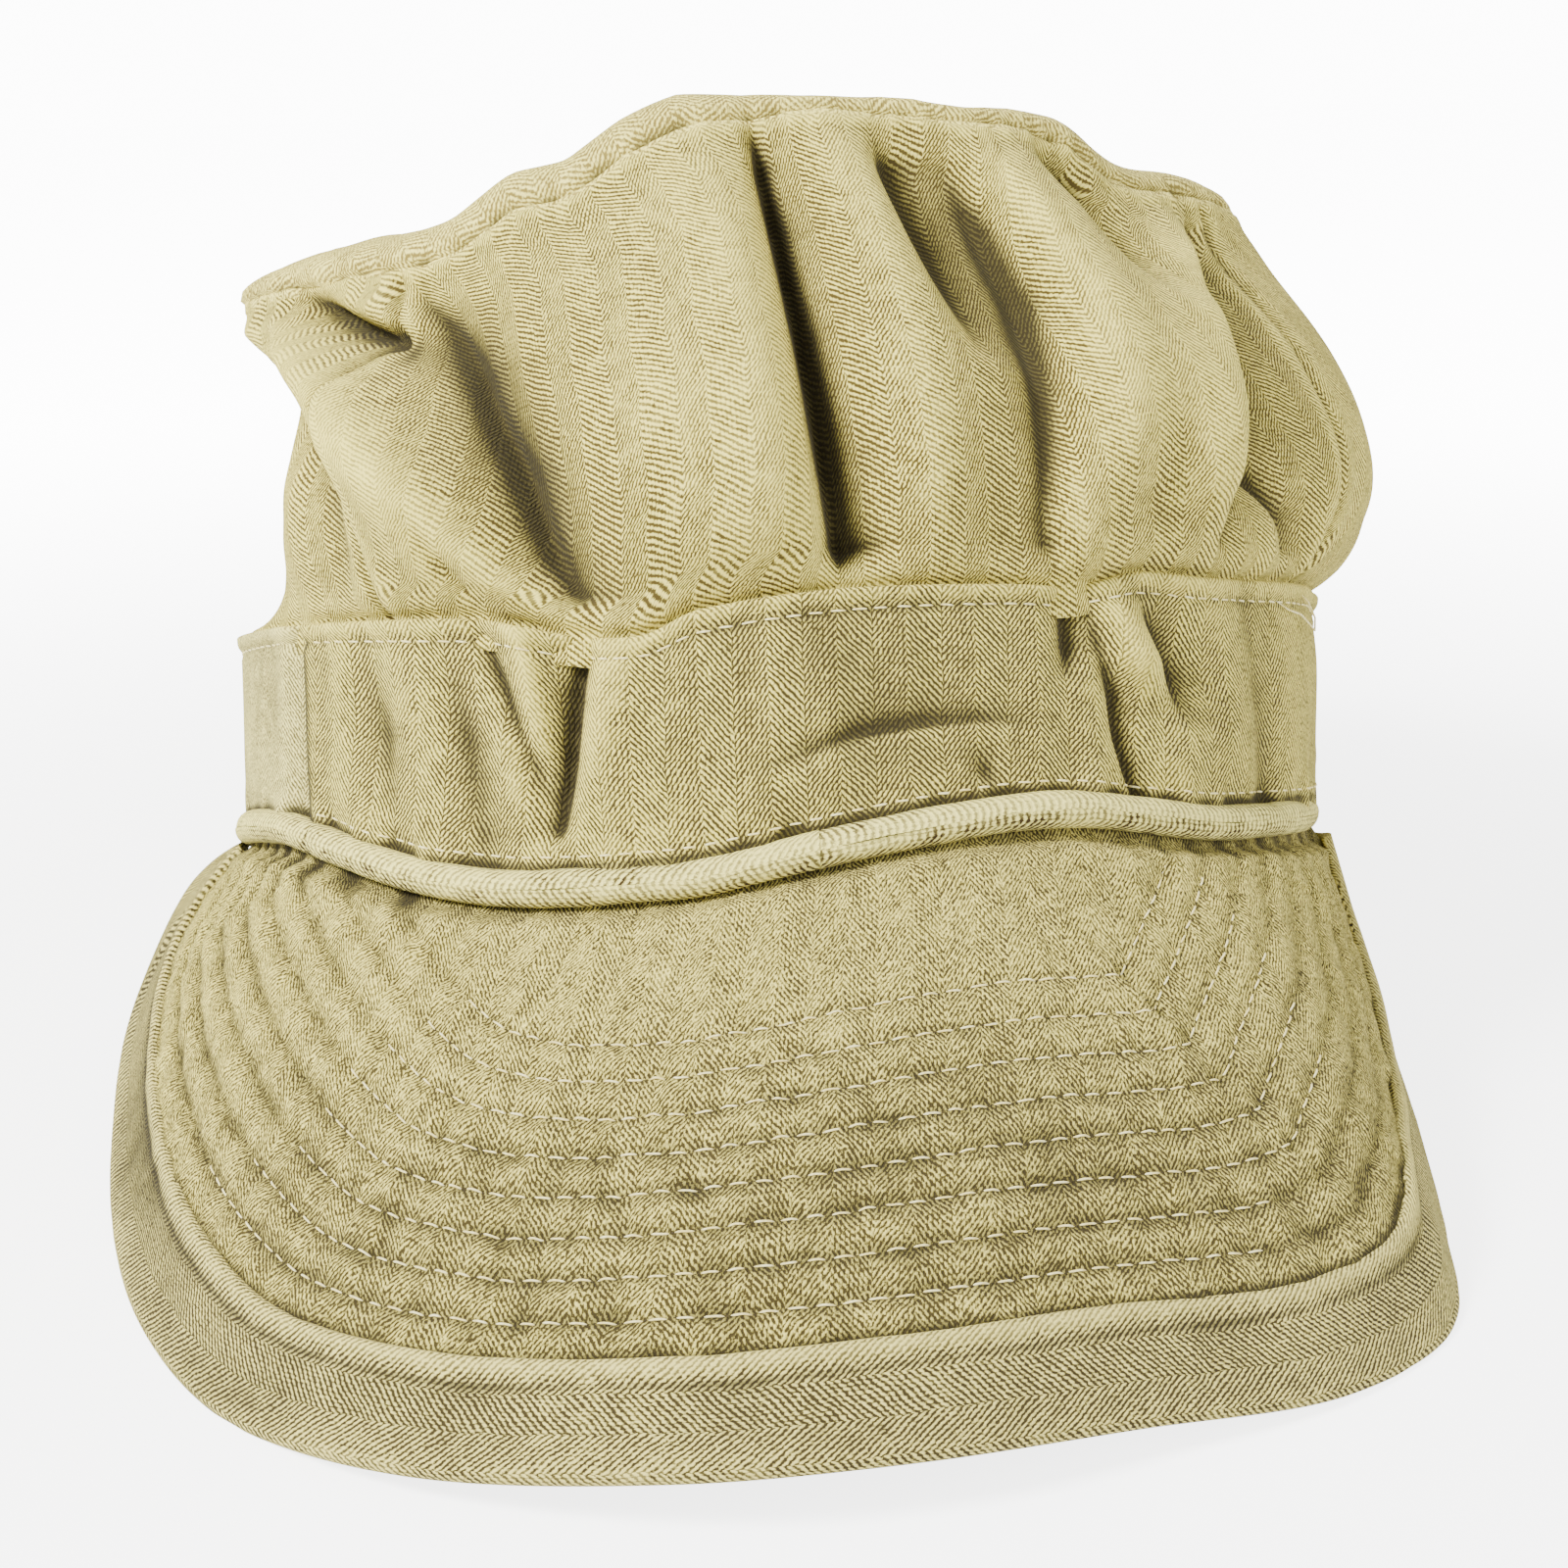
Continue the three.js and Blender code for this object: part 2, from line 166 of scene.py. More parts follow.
def bandHigh(bearing):
    return roll["height"] + band["height"] + roundCurve(bandWaves, "high", bearing)


# Length along a ring up to a bearing
def around(bearing, radius):
    return bearing * math.radians(1) * radius


def foldDepth(folds, radius, bearing, share):
    depth = np.zeros(np.broadcast(bearing, share).shape)
    for fold in folds.values():
        apart = np.mod(bearing - softPath(fold["path"], 1, share) + 180, 360) - 180
        apart = around(apart, radius)
        reach = np.where(apart < 0, fold["left"], fold["right"])
        depth += softPath(fold["path"], 2, share) * np.exp(-np.abs(apart / reach) ** fold["sharp"])
    return depth


# Crown

crown = {"wall": 1.1, "tuck": 1.4, "centreX": 0, "centreY": 4, "below": 5,
         "frontFrom": -42, "frontTo": 63, "domeHigh": 11, "domePower": 2.4, "radius": 84}

# The top's seam at each bearing: how far out, how high and how full the wall below it is
crownRows = table(("at", "reach", "high", "full"), [
    (-180, 66, 95, 17), (-148, 70, 96, 14), (-120, 77, 98, -6), (-96, 82, 99, -15),
    (-76, 78, 95, -10), (-52, 74, 92.7, 8), (-30, 72, 96.4, 11), (-10, 71, 103.5, 12),
    (10, 71, 106.5, 12), (30, 72, 104.8, 12), (50, 74, 103, 13), (74, 82, 102, 15),
    (105, 81, 99, 17), (140, 71, 96, 17)])

# Where the top's seam lies, 1 on the rim and less for a seam lower down the wall.
topSeams = table(("at", "seam"), [
    (-180, 0.96), (-120, 0.96), (-80, 0.97), (-55, 0.95), (-36, 0.925), (-20, 0.93), (-8, 0.95),
    (6, 0.985), (24, 0.97), (45, 0.96), (66, 0.96), (100, 0.96)])

# How far the top rises or sinks at a distance to the right of the crown's middle.
topTrims = table(("at", "rise"), [
    (-84, -4), (-74, -2.6), (-66, -1.6), (-58, -2), (-50, -2.8), (-42, -3), (-33, 0.6), (-25, -1.4),
    (-17, 1), (-9, 1.9), (0, 0.2), (8, -0.4), (16, -0.5), (24, 0.6), (32, 0.9), (40, 2.2), (48, 2.4),
    (55, -1.6), (60, -2.4), (68, -0.8), (80, 0)])

# Folds of the crown
crownFolds = {
    "centre pleat": foldAlong(1.5, 6, 1.1, [
        (0, 2.8, 4), (0.06, 2.6, 8), (0.25, 2.2, 11), (0.5, 1.8, 11), (0.75, 1.2, 10),
        (0.9, 0.6, 6), (0.97, 0.2, 2), (1, 0, 0)]),
    "puff left of the pleat": foldAlong(15, 4, 2, [
        (0, -5, 0), (0.12, -3, -2.5), (0.4, -2.5, -4), (0.8, -4, -3), (1, -6, 0)]),
    "ridge right of the pleat": foldAlong(5, 6, 2, [
        (0.05, 10, 0), (0.2, 11, -2), (0.55, 11, -2.5), (0.75, 10, -3.5), (0.95, 9.5, -2.5), (1, 9, 0)]),
    "three-cornered hollow": foldAlong(3, 9, 1.5, [
        (0.42, 18.5, 0), (0.55, 17.6, 4.5), (0.7, 16.4, 7), (0.86, 15, 6), (0.97, 13.5, 0)]),
    "curved valley": foldAlong(8, 3, 1.4, [
        (0, 22.5, 3), (0.12, 21.5, 5), (0.3, 23, 6.5), (0.58, 25.4, 8), (0.76, 24, 6),
        (0.92, 21, 0)]),
    "ridge right of the valley": foldAlong(4, 10, 2, [
        (0.1, 29, 0), (0.3, 29.6, -2.5), (0.6, 30.5, -4), (0.8, 28.5, -3.5), (1, 26, 0)]),
    "upper right hollow": foldAlong(3, 8, 1.5, [
        (0.6, 43, 0), (0.76, 41, 6), (0.87, 37.5, 7.5), (0.98, 34, 0)]),
    "right dimple": foldAlong(6, 6, 1.6, [
        (0.04, 34, 0), (0.14, 33, 3), (0.3, 35, 2), (0.45, 37, 0)]),
    "flap hollow": foldAlong(1.8, 12, 1.3, [
        (0.06, 43, 2), (0.18, 44, 7), (0.36, 46.5, 12), (0.58, 49, 12), (0.76, 54.5, 9), (0.93, 61, 0)]),
    "flap edge": foldAlong(9, 3, 2, [
        (0.1, 38, 0), (0.2, 40, -2.5), (0.39, 41.5, -4), (0.6, 44.5, -4), (0.78, 50, -3), (0.95, 56, 0)]),
    "seam tuck": foldAlong(3, 6, 1.4, [
        (0.04, 56, 2), (0.14, 54, 5), (0.24, 49, 3), (0.3, 46, 0)]),
    "ear hollow": foldAlong(3.5, 6, 1.5, [
        (0.58, -36, 0), (0.67, -40, 4), (0.74, -45, 9), (0.83, -53, 10), (0.92, -62, 7), (1, -70, 2)]),
    "ear": foldAlong(14, 7, 2, [
        (0.62, -62, 0), (0.76, -70, -4), (0.9, -78, -6), (1, -82, -3)]),
    "long valley": foldAlong(5, 12, 1.2, [
        (0, -18.6, 4), (0.13, -22.5, 10), (0.33, -26, 12.5), (0.56, -31.5, 11),
        (0.75, -36.5, 6), (0.92, -42, 0)]),
    "ridge left of the valley": foldAlong(9, 6, 2, [
        (0, -25, -1), (0.13, -30, -5), (0.33, -35.5, -7.5), (0.55, -42.5, -8), (0.7, -51, -7),
        (0.82, -61, -5), (0.92, -72, -2)]),
    "low left fold": foldAlong(8, 6, 1.7, [
        (0, -48, 1), (0.15, -46, 4), (0.35, -47, 5), (0.6, -56, 3), (0.75, -64, 0)]),
    "small left crease": foldAlong(2, 5, 1.3, [
        (0, -30, 2), (0.1, -31.5, 3), (0.25, -34, 0)]),
    "side bulge": foldAlong(18, 18, 2, [
        (0, 98, 0), (0.2, 99, -3), (0.5, 101, -3), (0.8, 104, 0)]),
    "right side fold": foldAlong(9, 5, 1.5, [
        (0, 114, 2), (0.25, 115, 4.5), (0.5, 116, 4), (0.75, 118, 0)]),
    "back fold right": foldAlong(7, 8, 1.5, [
        (0, 140, 3), (0.3, 136, 6), (0.6, 132, 5), (0.85, 128, 0)]),
    "back fold middle": foldAlong(9, 6, 1.5, [
        (0, 178, 2), (0.3, 181, 5), (0.6, 184, 4), (0.8, 186, 0)]),
    "back fold left": foldAlong(7, 8, 1.5, [
        (0, -138, 3), (0.3, -134, 6), (0.6, -130, 5), (0.85, -126, 0)]),
    "back ridge": foldAlong(9, 9, 2, [
        (0.1, 160, 0), (0.4, 158, -3), (0.8, 156, -2), (1, 156, 0)]),
    "left side fold": foldAlong(5, 9, 1.5, [
        (0, -100, 2), (0.25, -104, 5), (0.5, -106, 4), (0.8, -112, 0)]),
}
crownNoise = {"gather": 0.9, "gatherPitch": 7.5, "wrinkle": 0.9, "fine": 0.35}


def crownWrinkle(bearing, share):
    place = around(bearing, 82)
    up = share * 75
    gather = softNoise(place / crownNoise["gatherPitch"], up / 40, 3) * (1 - smoothStep(0.05, 0.5, share))
    broad = softNoise(place / 26 + 7, up / 34 + place / 90, 5)
    fine = softNoise(place / 9 + up / 30, up / 16, 9) + 0.5 * softNoise(place / 4.5, up / 9, 11)
    return (gather * crownNoise["gather"] + broad * crownNoise["wrinkle"] + fine * crownNoise["fine"])


def topSeam(bearing):
    point = outward(bearing) * roundCurve(crownRows, "reach", bearing)[..., None]
    point[..., 0] += crown["centreX"]
    point[..., 1] += crown["centreY"]
    point[..., 2] = roundCurve(crownRows, "high", bearing)
    return point


# Outer face of the crown's wall and its fold depth. Share below 0 runs down behind the band
def wallPoint(bearing, share):
    above = np.clip(share, 0, 1)
    base = bandPoint(bearing, -crown["tuck"], bandHigh(bearing) + seamGap)
    seam = topSeam(bearing)
    swell = roundCurve(crownRows, "full", bearing) * np.sin(np.pi * above ** 0.7)
    depth = foldDepth(crownFolds, crown["radius"], bearing, above) + crownWrinkle(bearing, above)
    depth = depth * np.minimum(1, above * 14) * np.minimum(1, (1 - above) * 7 + 0.1)
    point = base + (seam - base) * above[..., None]
    point = point + outward(bearing) * (swell - depth)[..., None]
    point[..., 2] += np.minimum(share, 0) * 100
    return point, depth


# The oval top, share 0 in its middle and 1 on the rim
def domePoint(bearing, share):
    rim, _ = wallPoint(bearing, np.ones_like(share))
    middle = np.array([crown["centreX"], crown["centreY"], crownRows["high"].mean()])
    point = middle + (rim - middle) * share[..., None]
    sag = 2.4 * softNoise(point[..., 0] / 30 + 3, point[..., 1] / 24 + 5, 23)
    sag = sag + 0.9 * softNoise(point[..., 0] / 11, point[..., 1] / 13, 25)
    line = (point[..., 0] + 0.3 * point[..., 1] - 10) / 7
    sag = (sag - 2.2 * np.exp(-np.abs(line) ** 1.6)) * (1 - share ** 6)
    point[..., 2] += crown["domeHigh"] * (1 - share ** crown["domePower"]) + sag + 1.6
    return point, -sag


# The crown from the band at 0 over the rim at 1 to the middle of the top at 2
def shellPoint(bearing, travel):
    wall, wallDepth = wallPoint(bearing, np.minimum(travel, 1))
    wall[..., 2] += 1.6 * smoothStep(0.8, 1, travel)
    dome, domeDepth = domePoint(bearing, np.clip(2 - travel, 0, 1))
    onTop = travel > 1
    point = np.where(onTop[..., None], dome, wall)
    trim = np.interp(point[..., 0], topTrims["at"], topTrims["rise"])
    point[..., 2] += trim * smoothStep(0.6, 1, travel)
    return point, np.where(onTop, domeDepth, wallDepth)


# The shell with its rim rounded and a groove along the top's seam
def crownPoint(bearing, travel):
    sharp, depth = shellPoint(bearing, travel)
    soft = np.zeros_like(sharp)
    weights = np.hanning(11)[1:-1]
    for weight, shift in zip(weights / weights.sum(), np.linspace(-0.075, 0.075, 9)):
        soft += shellPoint(bearing, travel + shift)[0] * weight
    near = hump(travel - 1, 0.11, 4)[..., None]
    point = sharp + (soft - sharp) * near
    seam = roundCurve(topSeams, "seam", bearing)
    place = around(bearing, 75)
    apart = (travel - seam) * 75
    pucker = 0.35 * softNoise(place / 2.2, place * 0, 27) * hump(apart, 3)
    groove = 0.5 * hump(apart, 0.8) - 0.4 * hump(apart + 1.7, 1.1) + pucker
    point = point - outward(bearing) * groove[..., None]
    point[..., 2] -= groove * 0.6
    # The depth returned only sets the tone: the seam's groove adds painted shade along the seam.
    return point, depth + groove * 3


def gridShares(columns, rows):
    across, along = np.meshgrid(np.linspace(0, 1, columns + 1), np.linspace(0, 1, rows + 1), indexing="ij")
    return across, along


# Lengths in millimetres along the columns and rows of a grid of points, for the weave
def measureCloth(points):
    stepAcross = np.linalg.norm(np.diff(points, axis=0), axis=2)
    stepAlong = np.linalg.norm(np.diff(points, axis=1), axis=2)
    across = np.concatenate([np.zeros((1, points.shape[1])), np.cumsum(stepAcross, axis=0)])
    along = np.concatenate([np.zeros((points.shape[0], 1)), np.cumsum(stepAlong, axis=1)], axis=1)
    across = across - across[len(across) // 2]
    across = across * 0.4 + across.mean(axis=1, keepdims=True) * 0.6
    along = along * 0.5 + along.mean(axis=0) * 0.5
    return across, along


def deselectAll():
    for other in bpy.context.selected_objects:
        other.select_set(False)


# A primitive grid with its corners moved to points, with the weave's lengths as its UV map
def clothGrid(name, points, across, along, fold, wrapAcross=False, wrapAlong=False):
    columns = points.shape[0] - 1
    rows = points.shape[1] - 1
    deselectAll()
    bpy.ops.mesh.primitive_grid_add(x_subdivisions=columns, y_subdivisions=rows, size=1)
    piece = bpy.context.object
    piece.name = name
    mesh = piece.data
    mesh.name = name
    corner = np.empty(len(mesh.vertices) * 3)
    mesh.vertices.foreach_get("co", corner)
    corner = corner.reshape(-1, 3)
    i = np.rint((corner[:, 0] + 0.5) * columns).astype(int)
    j = np.rint((corner[:, 1] + 0.5) * rows).astype(int)
    mesh.vertices.foreach_set("co", points[i, j].ravel())
    loopCorner = np.empty(len(mesh.loops), int)
    mesh.loops.foreach_get("vertex_index", loopCorner)
    lengths = np.stack([across[i, j], along[i, j]], -1) / 10
    mesh.uv_layers[0].data.foreach_set("uv", lengths[loopCorner].ravel())
    # The fold attribute holds each piece's tone, which the cloth look turns into painted shade and
    # highlight.
    layer = mesh.attributes.new("fold", "FLOAT", "POINT")
    layer.data.foreach_set("value", fold[i, j].astype(float))
    if wrapAcross or wrapAlong:
        bpy.ops.object.mode_set(mode="EDIT")
        bpy.ops.mesh.select_all(action="SELECT")
        bpy.ops.mesh.remove_doubles(threshold=0.00001)
        bpy.ops.object.mode_set(mode="OBJECT")
    mesh.update()
    bpy.ops.object.shade_smooth()
    return piece


def capEnds(piece):
    bpy.context.view_layer.objects.active = piece
    bpy.ops.object.mode_set(mode="EDIT")
    bpy.ops.mesh.select_all(action="DESELECT")
    bpy.ops.mesh.select_mode(type="EDGE")
    bpy.ops.mesh.select_non_manifold()
    bpy.ops.mesh.fill()
    bpy.ops.mesh.select_all(action="SELECT")
    bpy.ops.mesh.normals_make_consistent(inside=False)
    bpy.ops.object.mode_set(mode="OBJECT")


def thicken(piece, wall):
    solid = piece.modifiers.new("cloth", "SOLIDIFY")
    solid.thickness = wall * millimetre
    solid.offset = -1
    deselectAll()
    piece.select_set(True)
    bpy.context.view_layer.objects.active = piece
    bpy.ops.object.modifier_apply(modifier="cloth")


# Values of a grid averaged over neighbours up to reach cells away
def averaged(values, reach):
    kernel = np.hanning(2 * reach + 3)[1:-1]
    kernel = kernel / kernel.sum()
    for _ in range(2):
        padded = np.pad(values, ((reach, reach), (0, 0)), mode="edge")
        values = sum(weight * padded[shift:shift + len(values)] for shift, weight in enumerate(kernel)).T
    return values


# Tone for the fold attribute, 0 in deep creases, 0.5 on plain cloth and 1 on ridges. The darkening into
# folds and creases is painted shade; the paler ridges are partly wear and partly painted highlight.
def foldShadeAndWear(depth, broad, crease, reach):
    return np.clip(0.52 - depth / broad - (depth - averaged(depth, reach)) / crease, 0, 1)


# A wall panel. lap is how far, in degrees, its ends pass under the other panel
def crownPanel(name, start, span, columns, rows, broad, crease, lap=0.0):
    across, along = gridShares(columns, rows)
    bearing = start - lap + (span + 2 * lap) * across
    below = crown["below"] / 100
    end = roundCurve(topSeams, "seam", bearing)
    points, depth = crownPoint(bearing, along * (end + below) - below)
    edge = around(np.minimum(bearing - start, start + span - bearing), crown["radius"])
    welt = 0.5 * hump(edge, 0.8) - 0.3 * hump(edge - 2.2, 1.3)
    under = (crown["wall"] + seamGap) * (1 - smoothStep(-1, 0.1, edge))
    points = points - outward(bearing) * (welt * smoothStep(0, 0.05, along) + under)[..., None]
    acrossLength, alongLength = measureCloth(points)
    # Painted shade in the folds and in the grooves of the welted seams, with the welt beside each seam
    # paler.
    fold = foldShadeAndWear(depth + welt * 3, broad, crease, 9)
    piece = clothGrid(name, standUp(points), acrossLength, alongLength, fold)
    thicken(piece, crown["wall"])
    return piece


halfGap = math.degrees(seamGap / 2 / band["halfWidth"])


# Start and span of the front and the back panel of a ring
def panelSpans(ring):
    span = ring["frontTo"] - ring["frontFrom"] - 2 * halfGap
    return (ring["frontFrom"] + halfGap, span), (ring["frontTo"] + halfGap, 360 - span - 4 * halfGap)


crownSpans = panelSpans(crown)
bandSpans = panelSpans(band)
crownFront = crownPanel("crown_front_cloth", *crownSpans[0], 280, 150, 22, 4.5)
crownBack = crownPanel("crown_back_cloth", *crownSpans[1], 330, 100, 40, 9, lap=1.6)
print("crown panels", len(crownFront.data.vertices), len(crownBack.data.vertices))


# Oval top, from its middle to the seam

across, along = gridShares(300, 70)
bearing = 360 * across - 180
seamLine = roundCurve(topSeams, "seam", bearing)
topTravel = 2 - (2.035 - seamLine) * along
topPoints, topDepth = crownPoint(bearing, topTravel)
underFront = (crown["wall"] + seamGap) * smoothStep(-0.006, 0.008, seamLine - topTravel)
topPoints = topPoints - outward(bearing) * underFront[..., None]
topPoints[:, 0] = topPoints[:, :1].mean(axis=0)
_, fromMiddle = measureCloth(topPoints)
topWay = outward(bearing)
# The top's tone paints shade into its dips and along the seam's groove.
crownTop = clothGrid("crown_top_cloth", standUp(topPoints), 150 + fromMiddle * topWay[..., 0],
                     150 + fromMiddle * topWay[..., 1], foldShadeAndWear(topDepth, 20, 5, 5), wrapAcross=True)
thicken(crownTop, crown["wall"])
print("crown top", len(crownTop.data.vertices))


# Band, a wall with a folded top edge

# Creases of the band, in the form of the crown's folds, share 0 at the roll and 1 at the folded top edge.
bandCreases = {
    "wedge": foldAlong(3.4, 1.6, 1.1, [
        (0.08, -23.6, 0), (0.16, -23.4, 3.2), (0.4, -22.6, 4.2), (0.75, -21.4, 4), (1, -20.2, 3.6)]),
    "wedge left side": foldAlong(2.4, 3, 1.3, [
        (0.22, -24.6, 0), (0.42, -26, 2.2), (0.75, -29, 2.6), (1, -31.5, 1.4)]),
    "wedge tongue": foldAlong(3, 2, 2, [
        (0.3, -24.2, 0), (0.6, -25, -1.6), (0.9, -26, -2.2), (1, -26.4, -1.6)]),
    "wedge ridge": foldAlong(3, 4, 2, [
        (0.2, -20.4, 0), (0.6, -18.8, -1.8), (0.9, -17.4, -1.4), (1, -17, 0)]),
    "joint hole": foldAlong(2, 1.4, 1.4, [
        (0.82, -56.4, 0), (0.91, -56.4, 3.6), (1, -56.6, 3)]),
    "right crease": foldAlong(1.6, 3, 1.1, [
        (0, 31.5, 3.2), (0.25, 30, 3.6), (0.45, 29.4, 3), (0.62, 28, 1.5), (1, 25.6, 2.2)]),
    "right bulge": foldAlong(4, 5, 2, [
        (0.4, 33, 0), (0.6, 31.5, -3.4), (0.8, 29, -3), (1, 27, -0.5)]),
    "right bulge edge": foldAlong(2, 7, 1.3, [
        (0.3, 38, 0), (0.55, 36.5, 3.4), (0.75, 34, 2.4), (0.95, 32, 0)]),
    "upper right crease": foldAlong(2.4, 3, 1.3, [
        (0.5, 24, 0), (0.7, 24.5, 2.6), (0.95, 24, 2.4), (1, 24, 2)]),
    "low dent": foldAlong(3, 3, 1.3, [(0, 16, 1.5), (0.12, 15.4, 1.3), (0.3, 14, 0)]),
    "soft dent": foldAlong(6, 9, 1.7, [(0, 6, 0), (0.3, 4, 1.5), (0.7, 3, 1), (1, 3, 0)]),
    "left wave": foldAlong(4, 6, 1.6, [(0, -31, 1.6), (0.5, -33, 2.2), (1, -36, 0.4)]),
    "left ridge": foldAlong(4, 4, 2, [(0, -26, -0.6), (0.5, -27.5, -1.6), (1, -30, 0)]),
    "far left wave": foldAlong(4, 5, 1.6, [(0, -42, 1), (0.5, -43, 2), (1, -45, 0.4)]),
    "far right wave": foldAlong(5, 6, 1.6, [(0, 52, 1.4), (0.5, 50, 1.8), (1, 48, 0.6)]),
}


def bandWall(bearing, share, out):
    low = bandLow(bearing) + roll["height"] + seamGap * 0.5
    high = bandHigh(bearing)
    above = np.clip(share, 0, 1)
    bow = roundCurve(bandWaves, "out", bearing) * np.sin(np.pi * above)
    depth = foldDepth(bandCreases, band["halfWidth"], bearing, above)
    place = around(bearing, band["halfWidth"])
    up = above * band["height"]
    depth = depth + 0.55 * softNoise(place / 12, up / 14 + place / 70, 31)
    depth = depth + 0.35 * softNoise(place / 5, up / 20, 33)
    depth = depth + 0.7 * softNoise(place / 3.4, up / 7, 35) * (1 - smoothStep(0.02, 0.2, above))
    line = (above - 0.34 - 0.05 * np.sin(place / 9)) / np.where(above < 0.34, 0.04, 0.1)
    depth = depth + 1.2 * hump(place - 12, 19, 4) * np.exp(-np.abs(line) ** 1.4)
    return bandPoint(bearing, out + bow - depth, low + (high - low) * share), depth


# Rows of the band's section: share of the height and how far out, from outside to inside
def bandSection():
    rows = [(share, 0) for share in np.linspace(band["foot"], band["lip"], 54)]
    turns = np.linspace(0, math.pi, 9)[1:-1]
    half = band["wall"] / 2
    bulge = half / band["height"]
    rows += [(band["lip"] + bulge * 0.9 * math.sin(turn), -half * (1 - math.cos(turn))) for turn in turns]
    rows += [(share, -band["wall"]) for share in np.linspace(band["lip"], band["foot"], 26)]
    rows.append((band["foot"], 0))
    return np.array(rows)


def bandPanel(name, start, span, columns, shrink):
    section = bandSection()
    bearing = start + span * np.linspace(0, 1, columns + 1)
    bearing = np.broadcast_to(bearing[:, None], (columns + 1, len(section)))
    share = np.broadcast_to(section[:, 0], bearing.shape)
    out = np.broadcast_to(section[:, 1], bearing.shape) - shrink(bearing)
    lip = 0.7 * hump(share - band["lip"], 0.07) * (section[:, 1] > -band["wall"] * 0.9)
    groove = 0.5 * hump(share - band["sewn"], 0.025) * (section[:, 1] == 0)
    points, depth = bandWall(bearing, share, out + lip - groove)
    acrossLength, alongLength = measureCloth(points)
    edge = around(np.minimum(bearing - start, start + span - bearing), band["halfWidth"])
    # Painted shade, darker at the panel ends where they meet, along the foot at the roll, in the stitch
    # groove and across the front; the folded top edge is paler.
    bandShade = 0.42 * hump(edge, 1.1) + 0.4 * hump(share, 0.03) + groove * 0.5
    bandShade = bandShade + 0.1 * hump(bearing - 2, 18, 4)
    fold = np.clip(foldShadeAndWear(depth, 11, 2.6, 6) + lip * 0.4 - bandShade - 0.04, 0, 1)
    piece = clothGrid(name, standUp(points), acrossLength, alongLength, fold, wrapAlong=True)
    capEnds(piece)
    return piece


def noShrink(bearing):
    return np.zeros_like(bearing)


# The back piece passes behind the front piece at both joints
def underLap(bearing):
    turn = np.mod(bearing + 180, 360) - 180
    left = smoothStep(band["frontFrom"] - 5, band["frontFrom"] - 1, turn)
    right = smoothStep(band["frontTo"] + 5, band["frontTo"] + 1, turn)
    return 1.5 * np.where(turn < 0, left, right)


bandFront = bandPanel("band_front_cloth", *bandSpans[0], 320, noShrink)
bandBack = bandPanel("band_back_cloth", bandSpans[1][0] - 2, bandSpans[1][1] + 4, 300, underLap)
print("band", len(bandFront.data.vertices), len(bandBack.data.vertices))


# Rolled edge

across, along = gridShares(560, 22)
bearing = -360 * across
turn = 2 * math.pi * along
place = around(bearing, band["halfWidth"])
twist = softNoise(place / 6 + along * 3, along * 0 + 2, 41) * 0.3
twist = twist + softNoise(place / 22, along * 0, 43) * 0.35
halfOut = roll["width"] / 2 * (1 + 0.1 * twist)
out = roll["stand"] - 1.1 + halfOut * np.cos(turn) + twist * 0.5
out = out - 2 * hump(np.mod(bearing, 360) - 88, 26)
rollJoint = hump((np.mod(bearing, 360) - 306) * 1.54, 0.7)
out = out - 0.5 * rollJoint
high = bandLow(bearing) + roll["height"] / 2 * (1 + 1.04 * np.sin(turn)) + twist * 0.4
rollPoints = bandPoint(bearing, out, high)
acrossLength, alongLength = measureCloth(rollPoints)
rollWear = softNoise(place / 2.4, along * 7, 45) * 0.22 + softNoise(place / 14, along * 2, 47) * 0.2
# Painted light round the tube, paler on its upper outer side and darker on its lower inner side, with random
# rubbed patches and darker at the joint.
rollShadeAndWear = np.clip(0.48 + 0.42 * np.cos(turn - 0.5) + rollWear - 0.4 * rollJoint, 0, 1)
edgeRoll = clothGrid("edge_roll_cloth", standUp(rollPoints), alongLength, acrossLength, rollShadeAndWear,
                     wrapAcross=True, wrapAlong=True)
print("roll", len(edgeRoll.data.vertices))


# Visor

visor = {"wall": 2.4, "edgeWall": 1.5, "tuck": 0.4, "camber": 2.5, "under": 3, "halfTurn": 88}
binding = {"width": 13.6, "thick": 3.2, "cloth": 0.7}
stitchRows = {"count": 8, "first": 19.4, "apart": 5.7, "pitch": 3.2, "length": 2.5, "radius": 0.15}

# Outer edge of the visor from its left end round to its right end, upright like the band
visorEdge = np.array([
    (-85, -5.5, 0.6), (-91.5, -11.5, -4.6), (-98, -21, -22), (-97, -42.5, -37), (-91, -72, -49.6),
    (-82.5, -95, -57.6), (-70, -114, -63.2), (-47, -133, -65.3), (-17, -143.5, -64.6),
    (9, -142.5, -63.9), (38, -132.5, -63.9), (66, -120.5, -64.2), (83, -106, -60.8),
    (88.6, -86.5, -54.1), (93.6, -57, -42), (93.4, -34, -26.5), (89.6, -22, -7.6), (86.6, -14, -1)])


# Dense centripetal curve through the visor's outer edge, even along its length
def edgeLine():
    corners = np.vstack([2 * visorEdge[0] - visorEdge[1], visorEdge, 2 * visorEdge[-1] - visorEdge[-2]])
    share = np.linspace(0, 1, 61)[:, None]
    pieces = []
    for before, start, end, after in zip(corners[:-3], corners[1:-2], corners[2:-1], corners[3:]):
        first = np.linalg.norm(start - before) ** 0.5
        middle = np.linalg.norm(end - start) ** 0.5
        last = np.linalg.norm(after - end) ** 0.5
        slopeStart = ((start - before) / first - (end - before) / (first + middle)) * middle + (end - start)
        slopeEnd = (end - start) - (after - start) / (middle + last) * middle + (after - end) / last * middle
        pieces.append(between(share, start, end, slopeStart, slopeEnd))
    return np.vstack(pieces)


